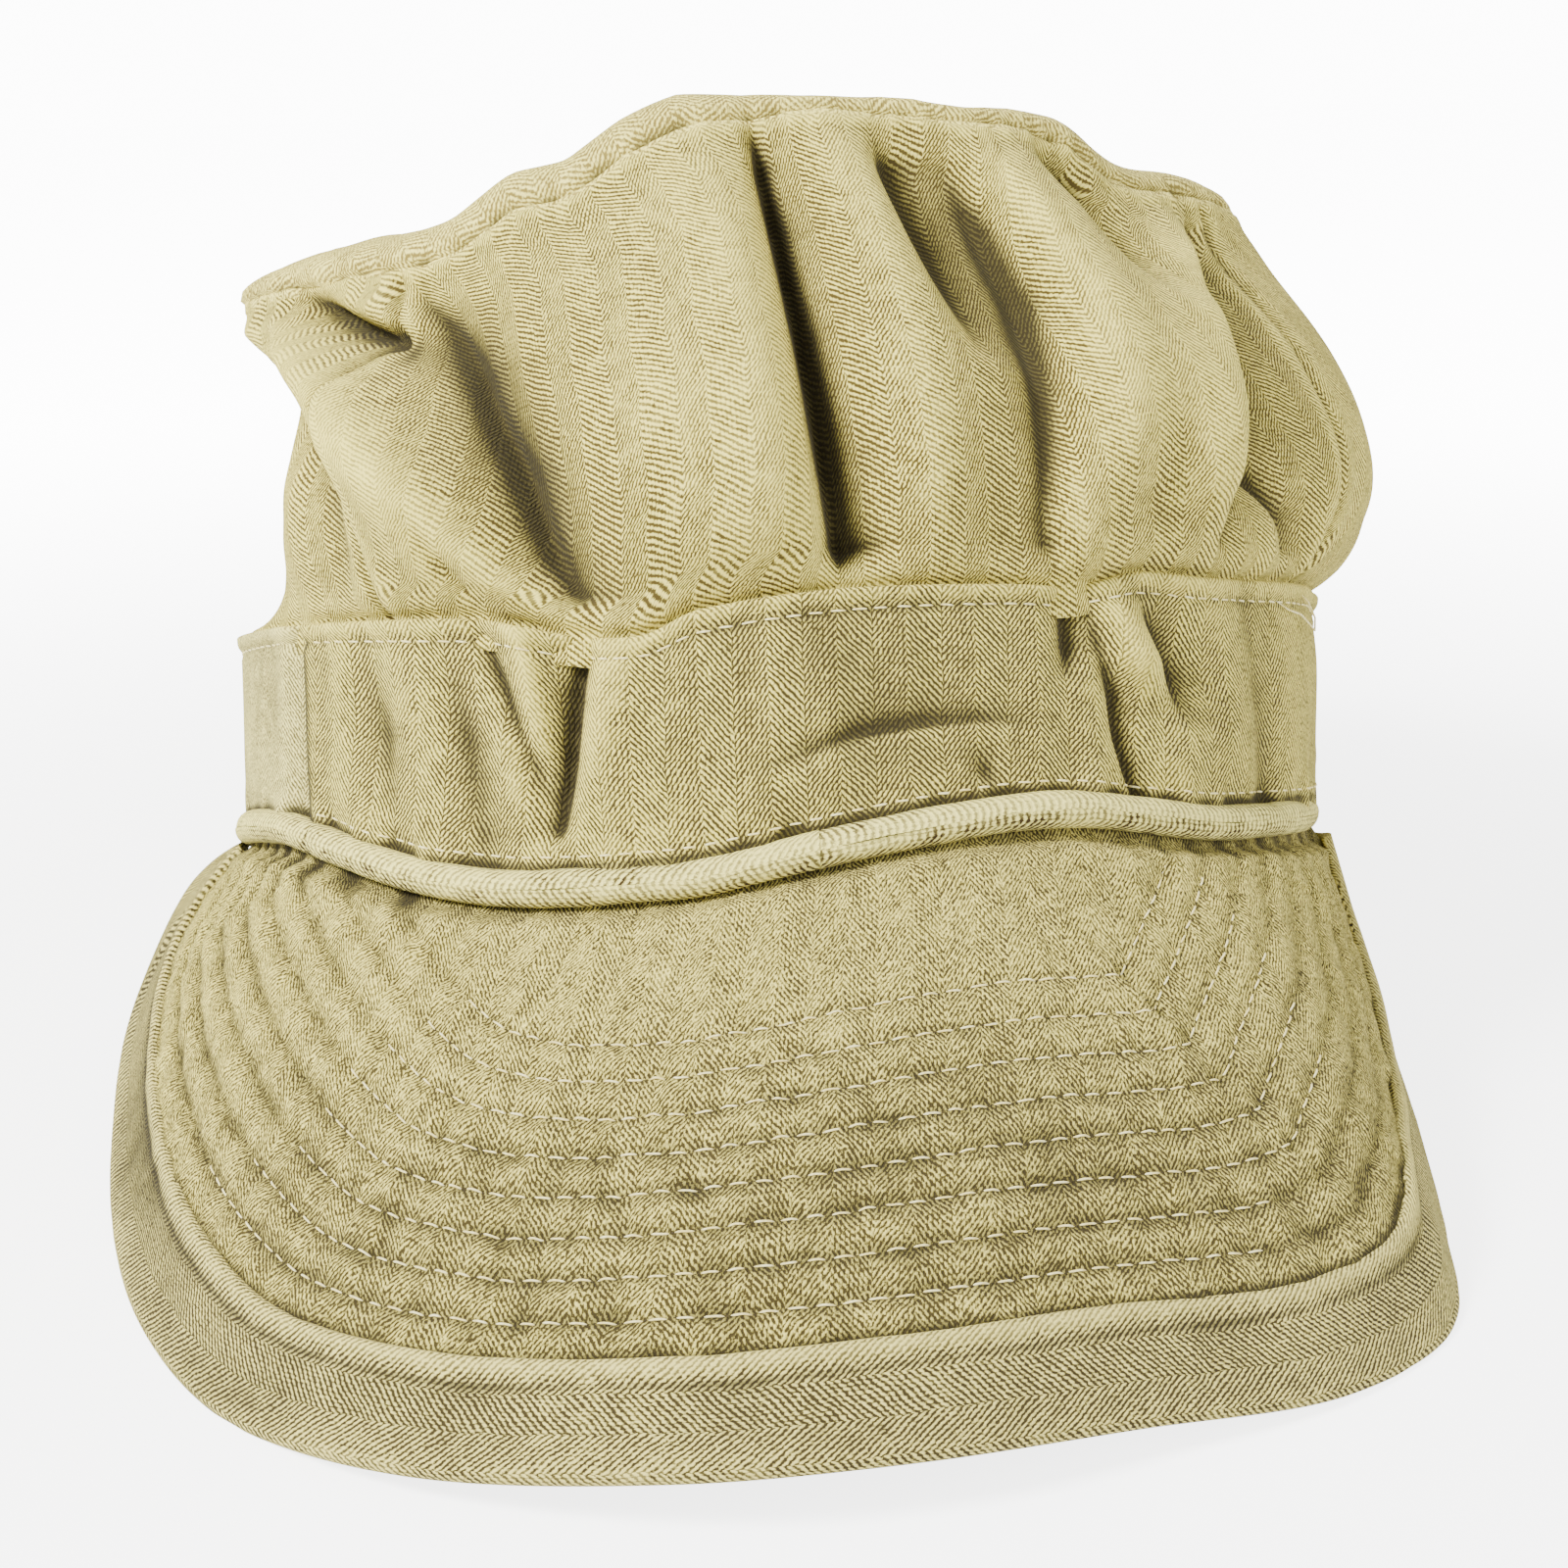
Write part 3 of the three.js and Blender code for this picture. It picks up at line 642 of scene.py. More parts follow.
edgeDense = edgeLine()
edgeLengths = np.concatenate([[0], np.cumsum(np.linalg.norm(np.diff(edgeDense, axis=0), axis=1))])
edgeSpan = edgeLengths[-1]


def edgePoint(along):
    at = np.clip(along, 0, 1) * edgeSpan
    return np.stack([np.interp(at, edgeLengths, edgeDense[:, axis]) for axis in range(3)], -1)


def visorBearing(along):
    return -visor["halfTurn"] + 2 * visor["halfTurn"] * along


def visorPoint(along, share):
    bearing = visorBearing(along)
    inner = bandPoint(bearing, -visor["tuck"], bandLow(bearing) - seamGap - visor["wall"] * 0.62)
    outer = edgePoint(along)
    length = np.linalg.norm(outer - inner, axis=-1)
    point = inner + (outer - inner) * share[..., None]
    point[..., 2] += visor["camber"] * np.sin(np.pi * share) * np.minimum(1, length / 60)
    return point


def visorUp(along, share):
    step = 0.008
    acrossWay = visorPoint(along + step, share) - visorPoint(along - step, share)
    outWay = visorPoint(along, share + step) - visorPoint(along, share - step)
    return unit(np.cross(outWay, acrossWay))


# Share of the visor's width at a distance in from its outer edge
def inwardShare(along, distance):
    outer = visorPoint(along, np.ones_like(along))
    ray = visorPoint(along, np.full_like(along, 0.9)) - outer
    step = 0.004
    edge = unit(edgePoint(along + step) - edgePoint(along - step))
    rayLength = np.linalg.norm(ray, axis=-1)
    slant = np.linalg.norm(np.cross(ray, edge), axis=-1) / rayLength
    width = np.linalg.norm(visorPoint(along, np.zeros_like(along)) - outer, axis=-1)
    return np.maximum(1 - distance / (np.maximum(slant, 0.3) * width), 0.02)


# How far each point is from the visor's outer edge, and how far along the edge
def edgeDistance(points):
    line = edgeDense[::3]
    lengths = edgeLengths[::3]
    flat = points.reshape(-1, 3)
    nearest = np.empty(len(flat))
    place = np.empty(len(flat))
    for start in range(0, len(flat), 4000):
        part = flat[start:start + 4000]
        gaps = np.linalg.norm(part[:, None] - line[None], axis=2)
        best = gaps.argmin(axis=1)
        nearest[start:start + 4000] = gaps[np.arange(len(part)), best]
        place[start:start + 4000] = lengths[best]
    return nearest.reshape(points.shape[:-1]), place.reshape(points.shape[:-1])


# 0 on a row of stitching and 1 midway between two rows
def rowPhase(distance):
    step = (distance - stitchRows["first"]) / stitchRows["apart"]
    between = 0.5 - 0.5 * np.cos(2 * np.pi * step)
    last = stitchRows["count"] - 1
    outside = smoothStep(-0.7, 0, step) * (1 - smoothStep(last, last + 0.9, step))
    return 1 - (1 - between) * outside


# Height of the quilted top above the visor's middle face, less its thickness
def visorRelief(distance, place):
    puff = rowPhase(distance) ** 0.6
    pucker = np.sin(2 * np.pi * place / stitchRows["pitch"] + softNoise(place / 9, distance / 9, 51) * 3)
    relief = 0.6 * puff - 0.35
    relief = relief + 0.13 * pucker * (1 - 0.6 * puff)
    relief = relief + 0.3 * softNoise(place / 5 + distance / 12, distance / 7, 53)
    relief = relief + 0.2 * softNoise(place / 2.6, distance / 3.4, 55)
    relief = relief + 0.3 * softNoise(place / 3.4 + distance / 20, distance / 16, 56) * (0.4 + 0.6 * puff)
    return relief + 0.9 * softNoise(place / 42, distance / 30, 57)


visorGrid = (330, 130)
endClear = 0.016
across, along = gridShares(*visorGrid)
visorAlong = endClear + (1 - 2 * endClear) * across
visorShare = along * inwardShare(visorAlong[:, :1].repeat(visorGrid[1] + 1, axis=1), 11.5)
visorMiddle = visorPoint(visorAlong, visorShare)
visorNormal = visorUp(visorAlong, visorShare)
distance, place = edgeDistance(visorMiddle)
nearEdge = smoothStep(binding["width"] - 2.5, binding["width"] + 1, distance)
nearBand = smoothStep(0, 0.06, along)
inwardReach = np.linalg.norm(visorMiddle - visorMiddle[:, :1], axis=-1)
underRoll = hump(inwardReach, 4)
halfWall = visor["edgeWall"] / 2 + (visor["wall"] - visor["edgeWall"]) / 2 * nearEdge
leftRidges = (1 - smoothStep(0.14, 0.38, visorAlong)) * (rowPhase(distance) ** 0.7 - 0.6)
relief = visorRelief(distance, place)
lift = halfWall + (relief + 0.45 * leftRidges) * nearEdge * nearBand + 0.9 * underRoll
visorTopPoints = visorMiddle + visorNormal * lift[..., None]
sink = halfWall - 0.25 * (rowPhase(distance) ** 0.6 - 1) * nearEdge
visorUnderPoints = visorMiddle - visorNormal * sink[..., None]
inner = visor["under"] * (1 - smoothStep(0.8, 3, inwardReach))
flange = outward(visorBearing(visorAlong)) * -inner[..., None]
flange[..., 2] = 3.2 * (1 - smoothStep(0, 1.3, inwardReach))
nearEnds = hump(np.minimum(visorAlong, 1 - visorAlong), 0.06)
flange[..., 2] += 1.6 * nearEnds * (1 - smoothStep(0, 4, inwardReach))
visorTopPoints = visorTopPoints + flange
visorUnderPoints = visorUnderPoints + flange
acrossLength, alongLength = measureCloth(visorTopPoints)
# Painted shade and highlight on the visor: paler on the quilted puffs and darker in the stitch grooves,
# lighter and darker along the left ridges and where the quilting rises above its neighbours, with random
# mottle.
visorShadeAndMottle = 0.4 + 0.15 * rowPhase(distance) ** 0.7 + 0.2 * leftRidges
visorShadeAndMottle = visorShadeAndMottle + 0.06 * softNoise(place / 6, distance / 4, 59)
visorShadeAndMottle = visorShadeAndMottle + 0.06 * softNoise(place / 2.2 + distance / 6, distance / 3, 60)
visorShadeAndMottle = visorShadeAndMottle + 0.1 * (relief - averaged(relief, 4))
# Painted shade, darker across the middle of the visor away from the band, under the roll and in a thin line
# along the binding's inner edge.
visorMiddleShade = smoothStep(16, 50, inwardReach) * hump(visorAlong - 0.5, 0.3, 4)
visorShadeAndMottle = visorShadeAndMottle - 0.04 - 0.17 * visorMiddleShade - 0.3 * hump(inwardReach, 2.6)
visorShadeAndMottle = np.clip(visorShadeAndMottle - 0.35 * hump(distance - binding["width"] - 0.4, 1.1), 0, 1)


# Rows over the top, back along the underside and closed at the first row
def loopRound(upper, under):
    return np.concatenate([upper, under[:, ::-1], upper[:, :1]], axis=1)


visorPlate = clothGrid("visor_cloth", standUp(loopRound(visorTopPoints, visorUnderPoints)),
                       loopRound(acrossLength, acrossLength), loopRound(alongLength, alongLength + 200),
                       loopRound(visorShadeAndMottle, visorShadeAndMottle), wrapAlong=True)
capEnds(visorPlate)
print("visor", len(visorPlate.data.vertices))


# Binding, a tape folded over the visor's edge

# Rows of the tape's section: distance in from the edge and height off the middle face
def bindingSection():
    half = binding["thick"] / 2
    wide = binding["width"]
    cloth = binding["cloth"]
    outer = [(wide, half * 0.9), (wide - 0.4, half + 0.6), (wide - 1.2, half + 0.85)]
    outer.append((wide - 2.2, half + 0.5))
    outer += [(inward, half) for inward in np.linspace(wide - 3.4, 2.2, 9)]
    outer += [(1.2, half * 0.94), (0.5, half * 0.72), (0.1, half * 0.35), (0, 0)]
    under = [(0.1, -half * 0.35), (0.5, -half * 0.72), (1.2, -half * 0.94)]
    under += [(inward, -half) for inward in np.linspace(2.2, wide, 8)]
    inside = [(wide, -half + cloth), (wide * 0.6, -half + cloth), (2, -half + cloth), (1.2, 0)]
    inside += [(2, half - cloth), (wide * 0.6, half - cloth), (wide, half - cloth)]
    return np.array(outer + under + inside + outer[:1], float)


section = bindingSection()
stations = 420
place = np.linspace(0.004, 0.996, stations + 1)
bindingAlong = np.broadcast_to(place[:, None], (stations + 1, len(section)))
bindingShare = inwardShare(bindingAlong, np.broadcast_to(section[:, 0], bindingAlong.shape))
ripple = softNoise(bindingAlong * edgeSpan / 16, section[:, 0] / 8 + bindingAlong * 0, 61) * 0.35
ripple = ripple + softNoise(bindingAlong * edgeSpan / 5, section[:, 0] / 5 + bindingAlong * 0, 63) * 0.16
rippleFade = np.sign(section[:, 1]) * (np.abs(section[:, 1]) > 0.95) * np.minimum(1, section[:, 0] / 3)
bindingPoints = visorPoint(bindingAlong, bindingShare)
bindingHigh = section[:, 1] + ripple * np.maximum(rippleFade, 0)
bindingPoints = bindingPoints + visorUp(bindingAlong, bindingShare) * bindingHigh[..., None]
bindingPoints[..., 2] += 1.6 * hump(np.minimum(bindingAlong, 1 - bindingAlong), 0.02)
acrossLength, alongLength = measureCloth(bindingPoints)
raised = hump(section[:, 0] - binding["width"] + 1.2, 1.2) * (section[:, 1] > 0)
rim = hump(section[:, 0], 1.6)
shaded = 0.12 * hump(bindingAlong - 0.2, 0.17, 4)
shaded = shaded + 0.22 * hump(section[:, 0] - binding["width"] + 3.4, 0.8)
bindingFold = np.clip(0.42 + 0.42 * raised + 0.2 * rim + ripple * 0.3 - shaded, 0, 1)
bindingCloth = clothGrid("visor_binding_cloth", standUp(bindingPoints), alongLength, acrossLength,
                         bindingFold, wrapAlong=True)
capEnds(bindingCloth)
print("binding", len(bindingCloth.data.vertices))


# Stitches

# Bearings between which a row's thread shows, the outermost row first. Past them it has sunk in.
seenThread = [(-44, 28), (-40, 30), (-36, 41), (-35, 42), (-34, 42), (-32, 41), (-29, 40), (-26, 39)]


def newPiece(name, corners, faces, smooth):
    mesh = bpy.data.meshes.new(name)
    mesh.from_pydata([tuple(corner) for corner in corners], [], faces)
    mesh.update()
    mesh.polygons.foreach_set("use_smooth", [smooth] * len(mesh.polygons))
    piece = bpy.data.objects.new(name, mesh)
    bpy.context.collection.objects.link(piece)
    return piece


# Round threads along short lines of points, joined in one mesh
def threadMesh(name, lines, radius):
    sides = 6
    corners = []
    faces = []
    for line in lines:
        way = unit(np.gradient(line, axis=0))
        side = unit(np.cross(way, [0.0, 0.0, 1.0]))
        up = np.cross(side, way)
        start = len(corners)
        count = len(line)
        for step in range(count):
            narrow = 0.35 if step in (0, count - 1) else 1.0
            for turn in np.linspace(0, 2 * math.pi, sides, endpoint=False):
                offset = side[step] * math.cos(turn) + up[step] * math.sin(turn)
                corners.append(line[step] + offset * radius * narrow)
        for step in range(count - 1):
            for turn in range(sides):
                first = start + step * sides + turn
                second = start + step * sides + (turn + 1) % sides
                faces.append((first, second, second + sides, first + sides))
        faces.append(tuple(start + turn for turn in range(sides))[::-1])
        faces.append(tuple(start + (count - 1) * sides + turn for turn in range(sides)))
    return newPiece(name, corners, faces, True)


# Short arched threads along a path of points, in metres
def stitchLines(path, normals, pitch, length, rise, seed):
    chance = np.random.default_rng(seed)
    gaps = np.linalg.norm(np.diff(path, axis=0), axis=1)
    at = np.concatenate([[0], np.cumsum(gaps)])
    lines = []
    start = pitch * 0.3
    while start + length < at[-1]:
        reach = length * chance.uniform(0.9, 1.08)
        steps = start + np.linspace(0, 1, 6) * reach
        line = np.stack([np.interp(steps, at, path[:, axis]) for axis in range(3)], -1)
        normal = np.stack([np.interp(steps, at, normals[:, axis]) for axis in range(3)], -1)
        sideways = unit(np.cross(line[-1] - line[0], normal[0]))
        arch = np.sin(np.pi * np.linspace(0, 1, 6)) - 0.35
        slant = np.linspace(-0.5, 0.5, 6) * chance.uniform(0.0, 0.25) * length * 0.4
        lines.append(line + normal * (arch * rise)[:, None] + sideways * slant[:, None])
        start += pitch * chance.uniform(0.94, 1.06)
    return lines


# Line of points across a grid at a fractional row for each column
def gridPath(points, normals, atRow):
    low = np.floor(atRow).astype(int)
    part = (atRow - low)[:, None]
    column = np.arange(len(atRow))
    line = points[column, low] * (1 - part) + points[column, low + 1] * part
    return line, normals[column, low]


visorTopPlaced = standUp(visorTopPoints)
turned = visorNormal.copy()
leanCosine = math.cos(stance["lean"])
leanSine = math.sin(stance["lean"])
turned[..., 1] = visorNormal[..., 1] * leanCosine + visorNormal[..., 2] * leanSine
turned[..., 2] = visorNormal[..., 2] * leanCosine - visorNormal[..., 1] * leanSine
visorThreads = []
for row in range(stitchRows["count"]):
    wanted = stitchRows["first"] + row * stitchRows["apart"]
    inside = distance[:, 3:]
    held = (inside.max(axis=1) > wanted + 0.4) & (inside.min(axis=1) < wanted)
    columns = np.nonzero(held)[0]
    rowsAt = []
    for column in columns:
        falling = distance[column]
        below = np.nonzero(falling < wanted)[0][0]
        below = max(below, 1)
        part = (falling[below - 1] - wanted) / (falling[below - 1] - falling[below])
        rowsAt.append(below - 1 + float(np.clip(part, 0, 0.999)))
    line, normals = gridPath(visorTopPlaced[columns], turned[columns], np.array(rowsAt))
    level, _ = gridPath(visorTopPoints[columns], turned[columns], np.array(rowsAt))
    bearing = np.degrees(np.arctan2(level[:, 0], -level[:, 1]))
    seen = (bearing > seenThread[row][0]) & (bearing < seenThread[row][1])
    visorThreads += stitchLines(line[seen], normals[seen], stitchRows["pitch"] * millimetre,
                                stitchRows["length"] * millimetre, 0.0003, 70 + row)
visorStitches = threadMesh("visor_stitches", visorThreads, stitchRows["radius"] * millimetre)


def bandStitchPath(start, span, share, out, count=900):
    bearing = start + span * np.linspace(0, 1, count)
    points, _ = bandWall(bearing, np.full_like(bearing, share), np.full_like(bearing, out))
    normal = outward(bearing)
    leaned = normal.copy()
    leaned[:, 1] = normal[:, 1] * leanCosine
    leaned[:, 2] = -normal[:, 1] * leanSine
    return standUp(points), leaned


# Each row's span, how much shorter it is, share of the height, how far out, length, rise and seed
bandRows = [
    (bandSpans[0], 2, band["sewn"], -0.3, 0.0023, 0.00022, 91),
    (bandSpans[1], 6, band["sewn"], -0.3, 0.0023, 0.00022, 92),
    (bandSpans[0], 2, 0.045, -0.05, 0.002, 0.0002, 93)]
bandThreads = []
for (start, span), shorter, share, out, length, rise, seed in bandRows:
    line, normals = bandStitchPath(start + 1, span - shorter, share, out)
    bandThreads += stitchLines(line, normals, 0.003, length, rise, seed)
looseThread = table(("at", "share", "out"), [
    (55, 0.9, -0.2), (57, 0.86, 0.4), (59, 0.84, 1.1), (61, 0.8, 1.3), (62.5, 0.77, 1.5),
    (63, 0.83, 1.6), (62, 0.9, 1.3), (60.5, 0.93, 1.1)])
bandThreads.append(standUp(bandWall(looseThread["at"], looseThread["share"], looseThread["out"])[0]))
bandStitches = threadMesh("band_stitches", bandThreads, 0.00015)


# Painted shade of the needle holes, small darker dents at both ends of each thread, as shallow six-sided
# discs
def holeMesh(name, lines, radius):
    corners = []
    faces = []
    for line in lines:
        for end, before in ((line[0], line[1]), (line[-1], line[-2])):
            way = unit(end - before)
            side = unit(np.cross(way, [0.0, 0.0, 1.0]))
            flat = np.cross(side, [0.0, -leanSine, leanCosine])
            up = np.cross(flat, side)
            middle = end + way * radius * 0.4 + up * 0.00012
            start = len(corners)
            for turn in np.linspace(0, 2 * math.pi, 6, endpoint=False):
                corners.append(middle + (side * math.cos(turn) + flat * math.sin(turn)) * radius)
            corners.append(middle + up * 0.00006)
            faces += [(start + turn, start + (turn + 1) % 6, start + 6) for turn in range(6)]
    return newPiece(name, corners, faces, False)


visorHoles = holeMesh("visor_stitch_holes", visorThreads, 0.00026)
print("stitches", len(visorThreads), len(bandThreads))


# Materials

def addNode(tree, kind, **values):
    node = tree.nodes.new(kind)
    for name, value in values.items():
        setattr(node, name, value)
    return node


def setInputs(node, values):
    for name, value in values.items():
        node.inputs[name].default_value = value


def feed(tree, socket, value):
    if isinstance(value, bpy.types.NodeSocket):
        tree.links.new(value, socket)
    else:
        socket.default_value = value


def maths(tree, operation, first, second=0.0, third=0.0):
    node = addNode(tree, "ShaderNodeMath", operation=operation)
    for index, value in enumerate((first, second, third)):
        feed(tree, node.inputs[index], value)
    return node.outputs[0]


def remap(tree, value, low, high, toLow=0.0, toHigh=1.0):
    node = addNode(tree, "ShaderNodeMapRange", interpolation_type="SMOOTHSTEP")
    for index, given in enumerate((value, low, high, toLow, toHigh)):
        feed(tree, node.inputs[index], given)
    return node.outputs[0]


def mixColours(tree, share, first, second, blend="MIX"):
    node = addNode(tree, "ShaderNodeMix", data_type="RGBA", blend_type=blend)
    feed(tree, node.inputs["Factor"], share)
    feed(tree, node.inputs[6], first)
    feed(tree, node.inputs[7], second)
    return node.outputs[2]


def noiseValue(tree, vector, scale, detail=2.0, rough=0.5):
    node = addNode(tree, "ShaderNodeTexNoise")
    feed(tree, node.inputs["Vector"], vector)
    setInputs(node, {"Scale": scale, "Detail": detail, "Roughness": rough})
    return node.outputs["Fac"]


def vectorMaths(tree, operation, first, second=None, scale=None):
    node = addNode(tree, "ShaderNodeVectorMath", operation=operation)
    feed(tree, node.inputs[0], first)
    if second is not None:
        feed(tree, node.inputs[1], second)
    if scale is not None:
        feed(tree, node.inputs["Scale"], scale)
    return node.outputs["Value" if operation == "LENGTH" else "Vector"]


# A node group. An input given as None is a vector, four numbers are a colour
def newGroup(name, inputs, outputs):
    group = bpy.data.node_groups.new(name, "ShaderNodeTree")
    for title, value in inputs.items():
        kind = {type(None): "Vector", tuple: "Color"}.get(type(value), "Float")
        socket = group.interface.new_socket(title, in_out="INPUT", socket_type="NodeSocket" + kind)
        if value is not None:
            socket.default_value = value
    for title in outputs:
        kind = "Color" if title == "Color" else "Float"
        group.interface.new_socket(title, in_out="OUTPUT", socket_type="NodeSocket" + kind)
    entry = group.nodes.new("NodeGroupInput")
    leave = group.nodes.new("NodeGroupOutput")
    return group, entry.outputs, leave.inputs


# Herringbone twill on a vector in millimetres. The pale floats rise across the first stripe of
# each period and fall across the second. The warp columns break them into dashes.
def herringboneGroup():
    group, given, leave = newGroup("herringbone", {
        "Vector": None, "Period": 9.5, "Share": 0.56, "Rise": 0.58, "Fall": 1.5, "Pitch": 1.03,
        "Column": 0.57, "Broken": 1.3, "Wander": 0.9, "Pebble": 0.15}, ("Float", "Height", "Yarn"))

    def work(operation, *values):
        return maths(group, operation, *values)

    wander = addNode(group, "ShaderNodeTexNoise")
    feed(group, wander.inputs["Vector"], given["Vector"])
    setInputs(wander, {"Scale": 0.25, "Detail": 2.0})
    centred = vectorMaths(group, "SUBTRACT", wander.outputs["Color"], (0.5, 0.5, 0.5))
    scaled = vectorMaths(group, "SCALE", centred, scale=given["Wander"])
    shifted = vectorMaths(group, "ADD", scaled, given["Vector"])
    split = addNode(group, "ShaderNodeSeparateXYZ")
    feed(group, split.inputs[0], shifted)
    inPeriod = work("FRACT", work("DIVIDE", split.outputs[0], given["Period"]))
    reach = work("MULTIPLY", inPeriod, given["Period"])
    first = work("LESS_THAN", inPeriod, given["Share"])
    slope = work("MULTIPLY", first, work("ADD", given["Rise"], given["Fall"]))
    slope = work("SUBTRACT", slope, given["Fall"])
    phase = work("DIVIDE", work("MULTIPLY_ADD", reach, slope, split.outputs[1]), given["Pitch"])
    wave = work("SINE", work("MULTIPLY", phase, 2 * math.pi))
    inColumn = work("FRACT", work("DIVIDE", reach, given["Column"]))
    ends = work("ABSOLUTE", work("MULTIPLY_ADD", inColumn, 2.0, -1.0))
    ends = work("MULTIPLY", work("POWER", ends, 3.0), given["Broken"])
    ends = work("MULTIPLY", ends, work("MULTIPLY_ADD", first, -0.4, 1.0))
    yarn = noiseValue(group, shifted, 2.2, 3.0, 0.65)
    grain = noiseValue(group, vectorMaths(group, "MULTIPLY", shifted, (1.6, 0.85, 1.0)), 1.8, 2.0, 0.7)
    rough = work("MULTIPLY", work("SUBTRACT", yarn, 0.5), 3.4)
    pebble = work("MULTIPLY", work("SUBTRACT", grain, 0.5), 8.0)
    rough = work("MULTIPLY_ADD", pebble, given["Pebble"], rough)
    body = work("SUBTRACT", work("ADD", wave, 0.15), ends)
    body = work("MULTIPLY", body, work("MULTIPLY_ADD", given["Pebble"], -1.0, 1.0))
    total = work("ADD", body, rough)
    feed(group, leave["Float"], remap(group, total, -0.75, 0.75))
    feed(group, leave["Height"], work("MULTIPLY_ADD", total, 0.3, 0.5))
    feed(group, leave["Yarn"], yarn)
    return group


# Colours of cloth from the weave, patches of fading and the fold attribute, which paints shade and highlight
# into the folds
def clothGroup():
    group, given, leave = newGroup("faded cloth and painted shade", {
        "Float": 0.5, "Yarn": 0.5, "Fold": 0.5, "Vector": None, "Pale": (0.8, 0.72, 0.5, 1),
        "Gap": (0.25, 0.21, 0.09, 1), "PaintedShade": (0.2, 0.18, 0.07, 1), "Fade": 0.3}, ("Color",))

    def work(operation, *values):
        return maths(group, operation, *values)

    patch = noiseValue(group, given["Vector"], 0.05, 4.0, 0.6)
    mottle = noiseValue(group, given["Vector"], 0.4, 3.0, 0.6)
    lift = work("MULTIPLY", work("SUBTRACT", patch, 0.5), given["Fade"])
    # Fold values below 0.5 move the weave toward its gap colour as painted shade, values above toward its
    # pale colour as painted highlight and wear.
    for value, share in ((given["Fold"], 0.9), (given["Yarn"], 0.35), (mottle, 0.6)):
        lift = work("MULTIPLY_ADD", work("SUBTRACT", value, 0.5), share, lift)
    shown = work("MINIMUM", work("MAXIMUM", work("ADD", given["Float"], lift), 0.0), 1.0)
    woven = mixColours(group, shown, given["Gap"], given["Pale"])
    # Painted shade: low fold values mix in the shade colour.
    low = remap(group, given["Fold"], 0.4, 0.0, 0.0, 0.9)
    feed(group, leave["Color"], mixColours(group, low, woven, given["PaintedShade"]))
    return group


herringbone = herringboneGroup()
fadedClothAndShade = clothGroup()


# Linear colour from the 0 to 255 values of a screen
def colour(red, green, blue):
    values = [channel / 255 for channel in (red, green, blue)]
    return tuple(v / 12.92 if v <= 0.04045 else ((v + 0.055) / 1.055) ** 2.4 for v in values) + (1.0,)


def newMaterial(name, rough):
    material = bpy.data.materials.new(name)
    material.use_nodes = True
    shader = material.node_tree.nodes["Principled BSDF"]
    shader.inputs["Roughness"].default_value = rough
    return material, material.node_tree, shader


def clothMaterial(name, look):
    material, tree, shader = newMaterial(name, 0.95)
    place = addNode(tree, "ShaderNodeUVMap")
    lengths = vectorMaths(tree, "SCALE", place.outputs[0], scale=10.0)
    weave = addNode(tree, "ShaderNodeGroup", node_tree=herringbone)
    # The fold attribute carries the painted shade and highlight into the cloth look.
    fold = addNode(tree, "ShaderNodeAttribute", attribute_name="fold")
    dye = addNode(tree, "ShaderNodeGroup", node_tree=fadedClothAndShade)
    for node in (weave, dye):
        for title, value in look.items():
            if title in node.inputs:
                node.inputs[title].default_value = colour(*value) if isinstance(value, tuple) else value
    feed(tree, weave.inputs["Vector"], lengths)
    feed(tree, dye.inputs["Vector"], lengths)
    feed(tree, dye.inputs["Float"], weave.outputs["Float"])
    feed(tree, dye.inputs["Yarn"], weave.outputs["Yarn"])
    feed(tree, dye.inputs["Fold"], fold.outputs["Fac"])
    feed(tree, shader.inputs["Base Color"], dye.outputs["Color"])
    bump = addNode(tree, "ShaderNodeBump")
    setInputs(bump, {"Strength": 0.8, "Distance": look.get("relief", 0.00022)})
    feed(tree, bump.inputs["Height"], weave.outputs["Height"])
    feed(tree, shader.inputs["Normal"], bump.outputs[0])
    setInputs(shader, {"Specular IOR Level": 0.2, "Sheen Weight": 0.03, "Sheen Roughness": 0.6})
    return material


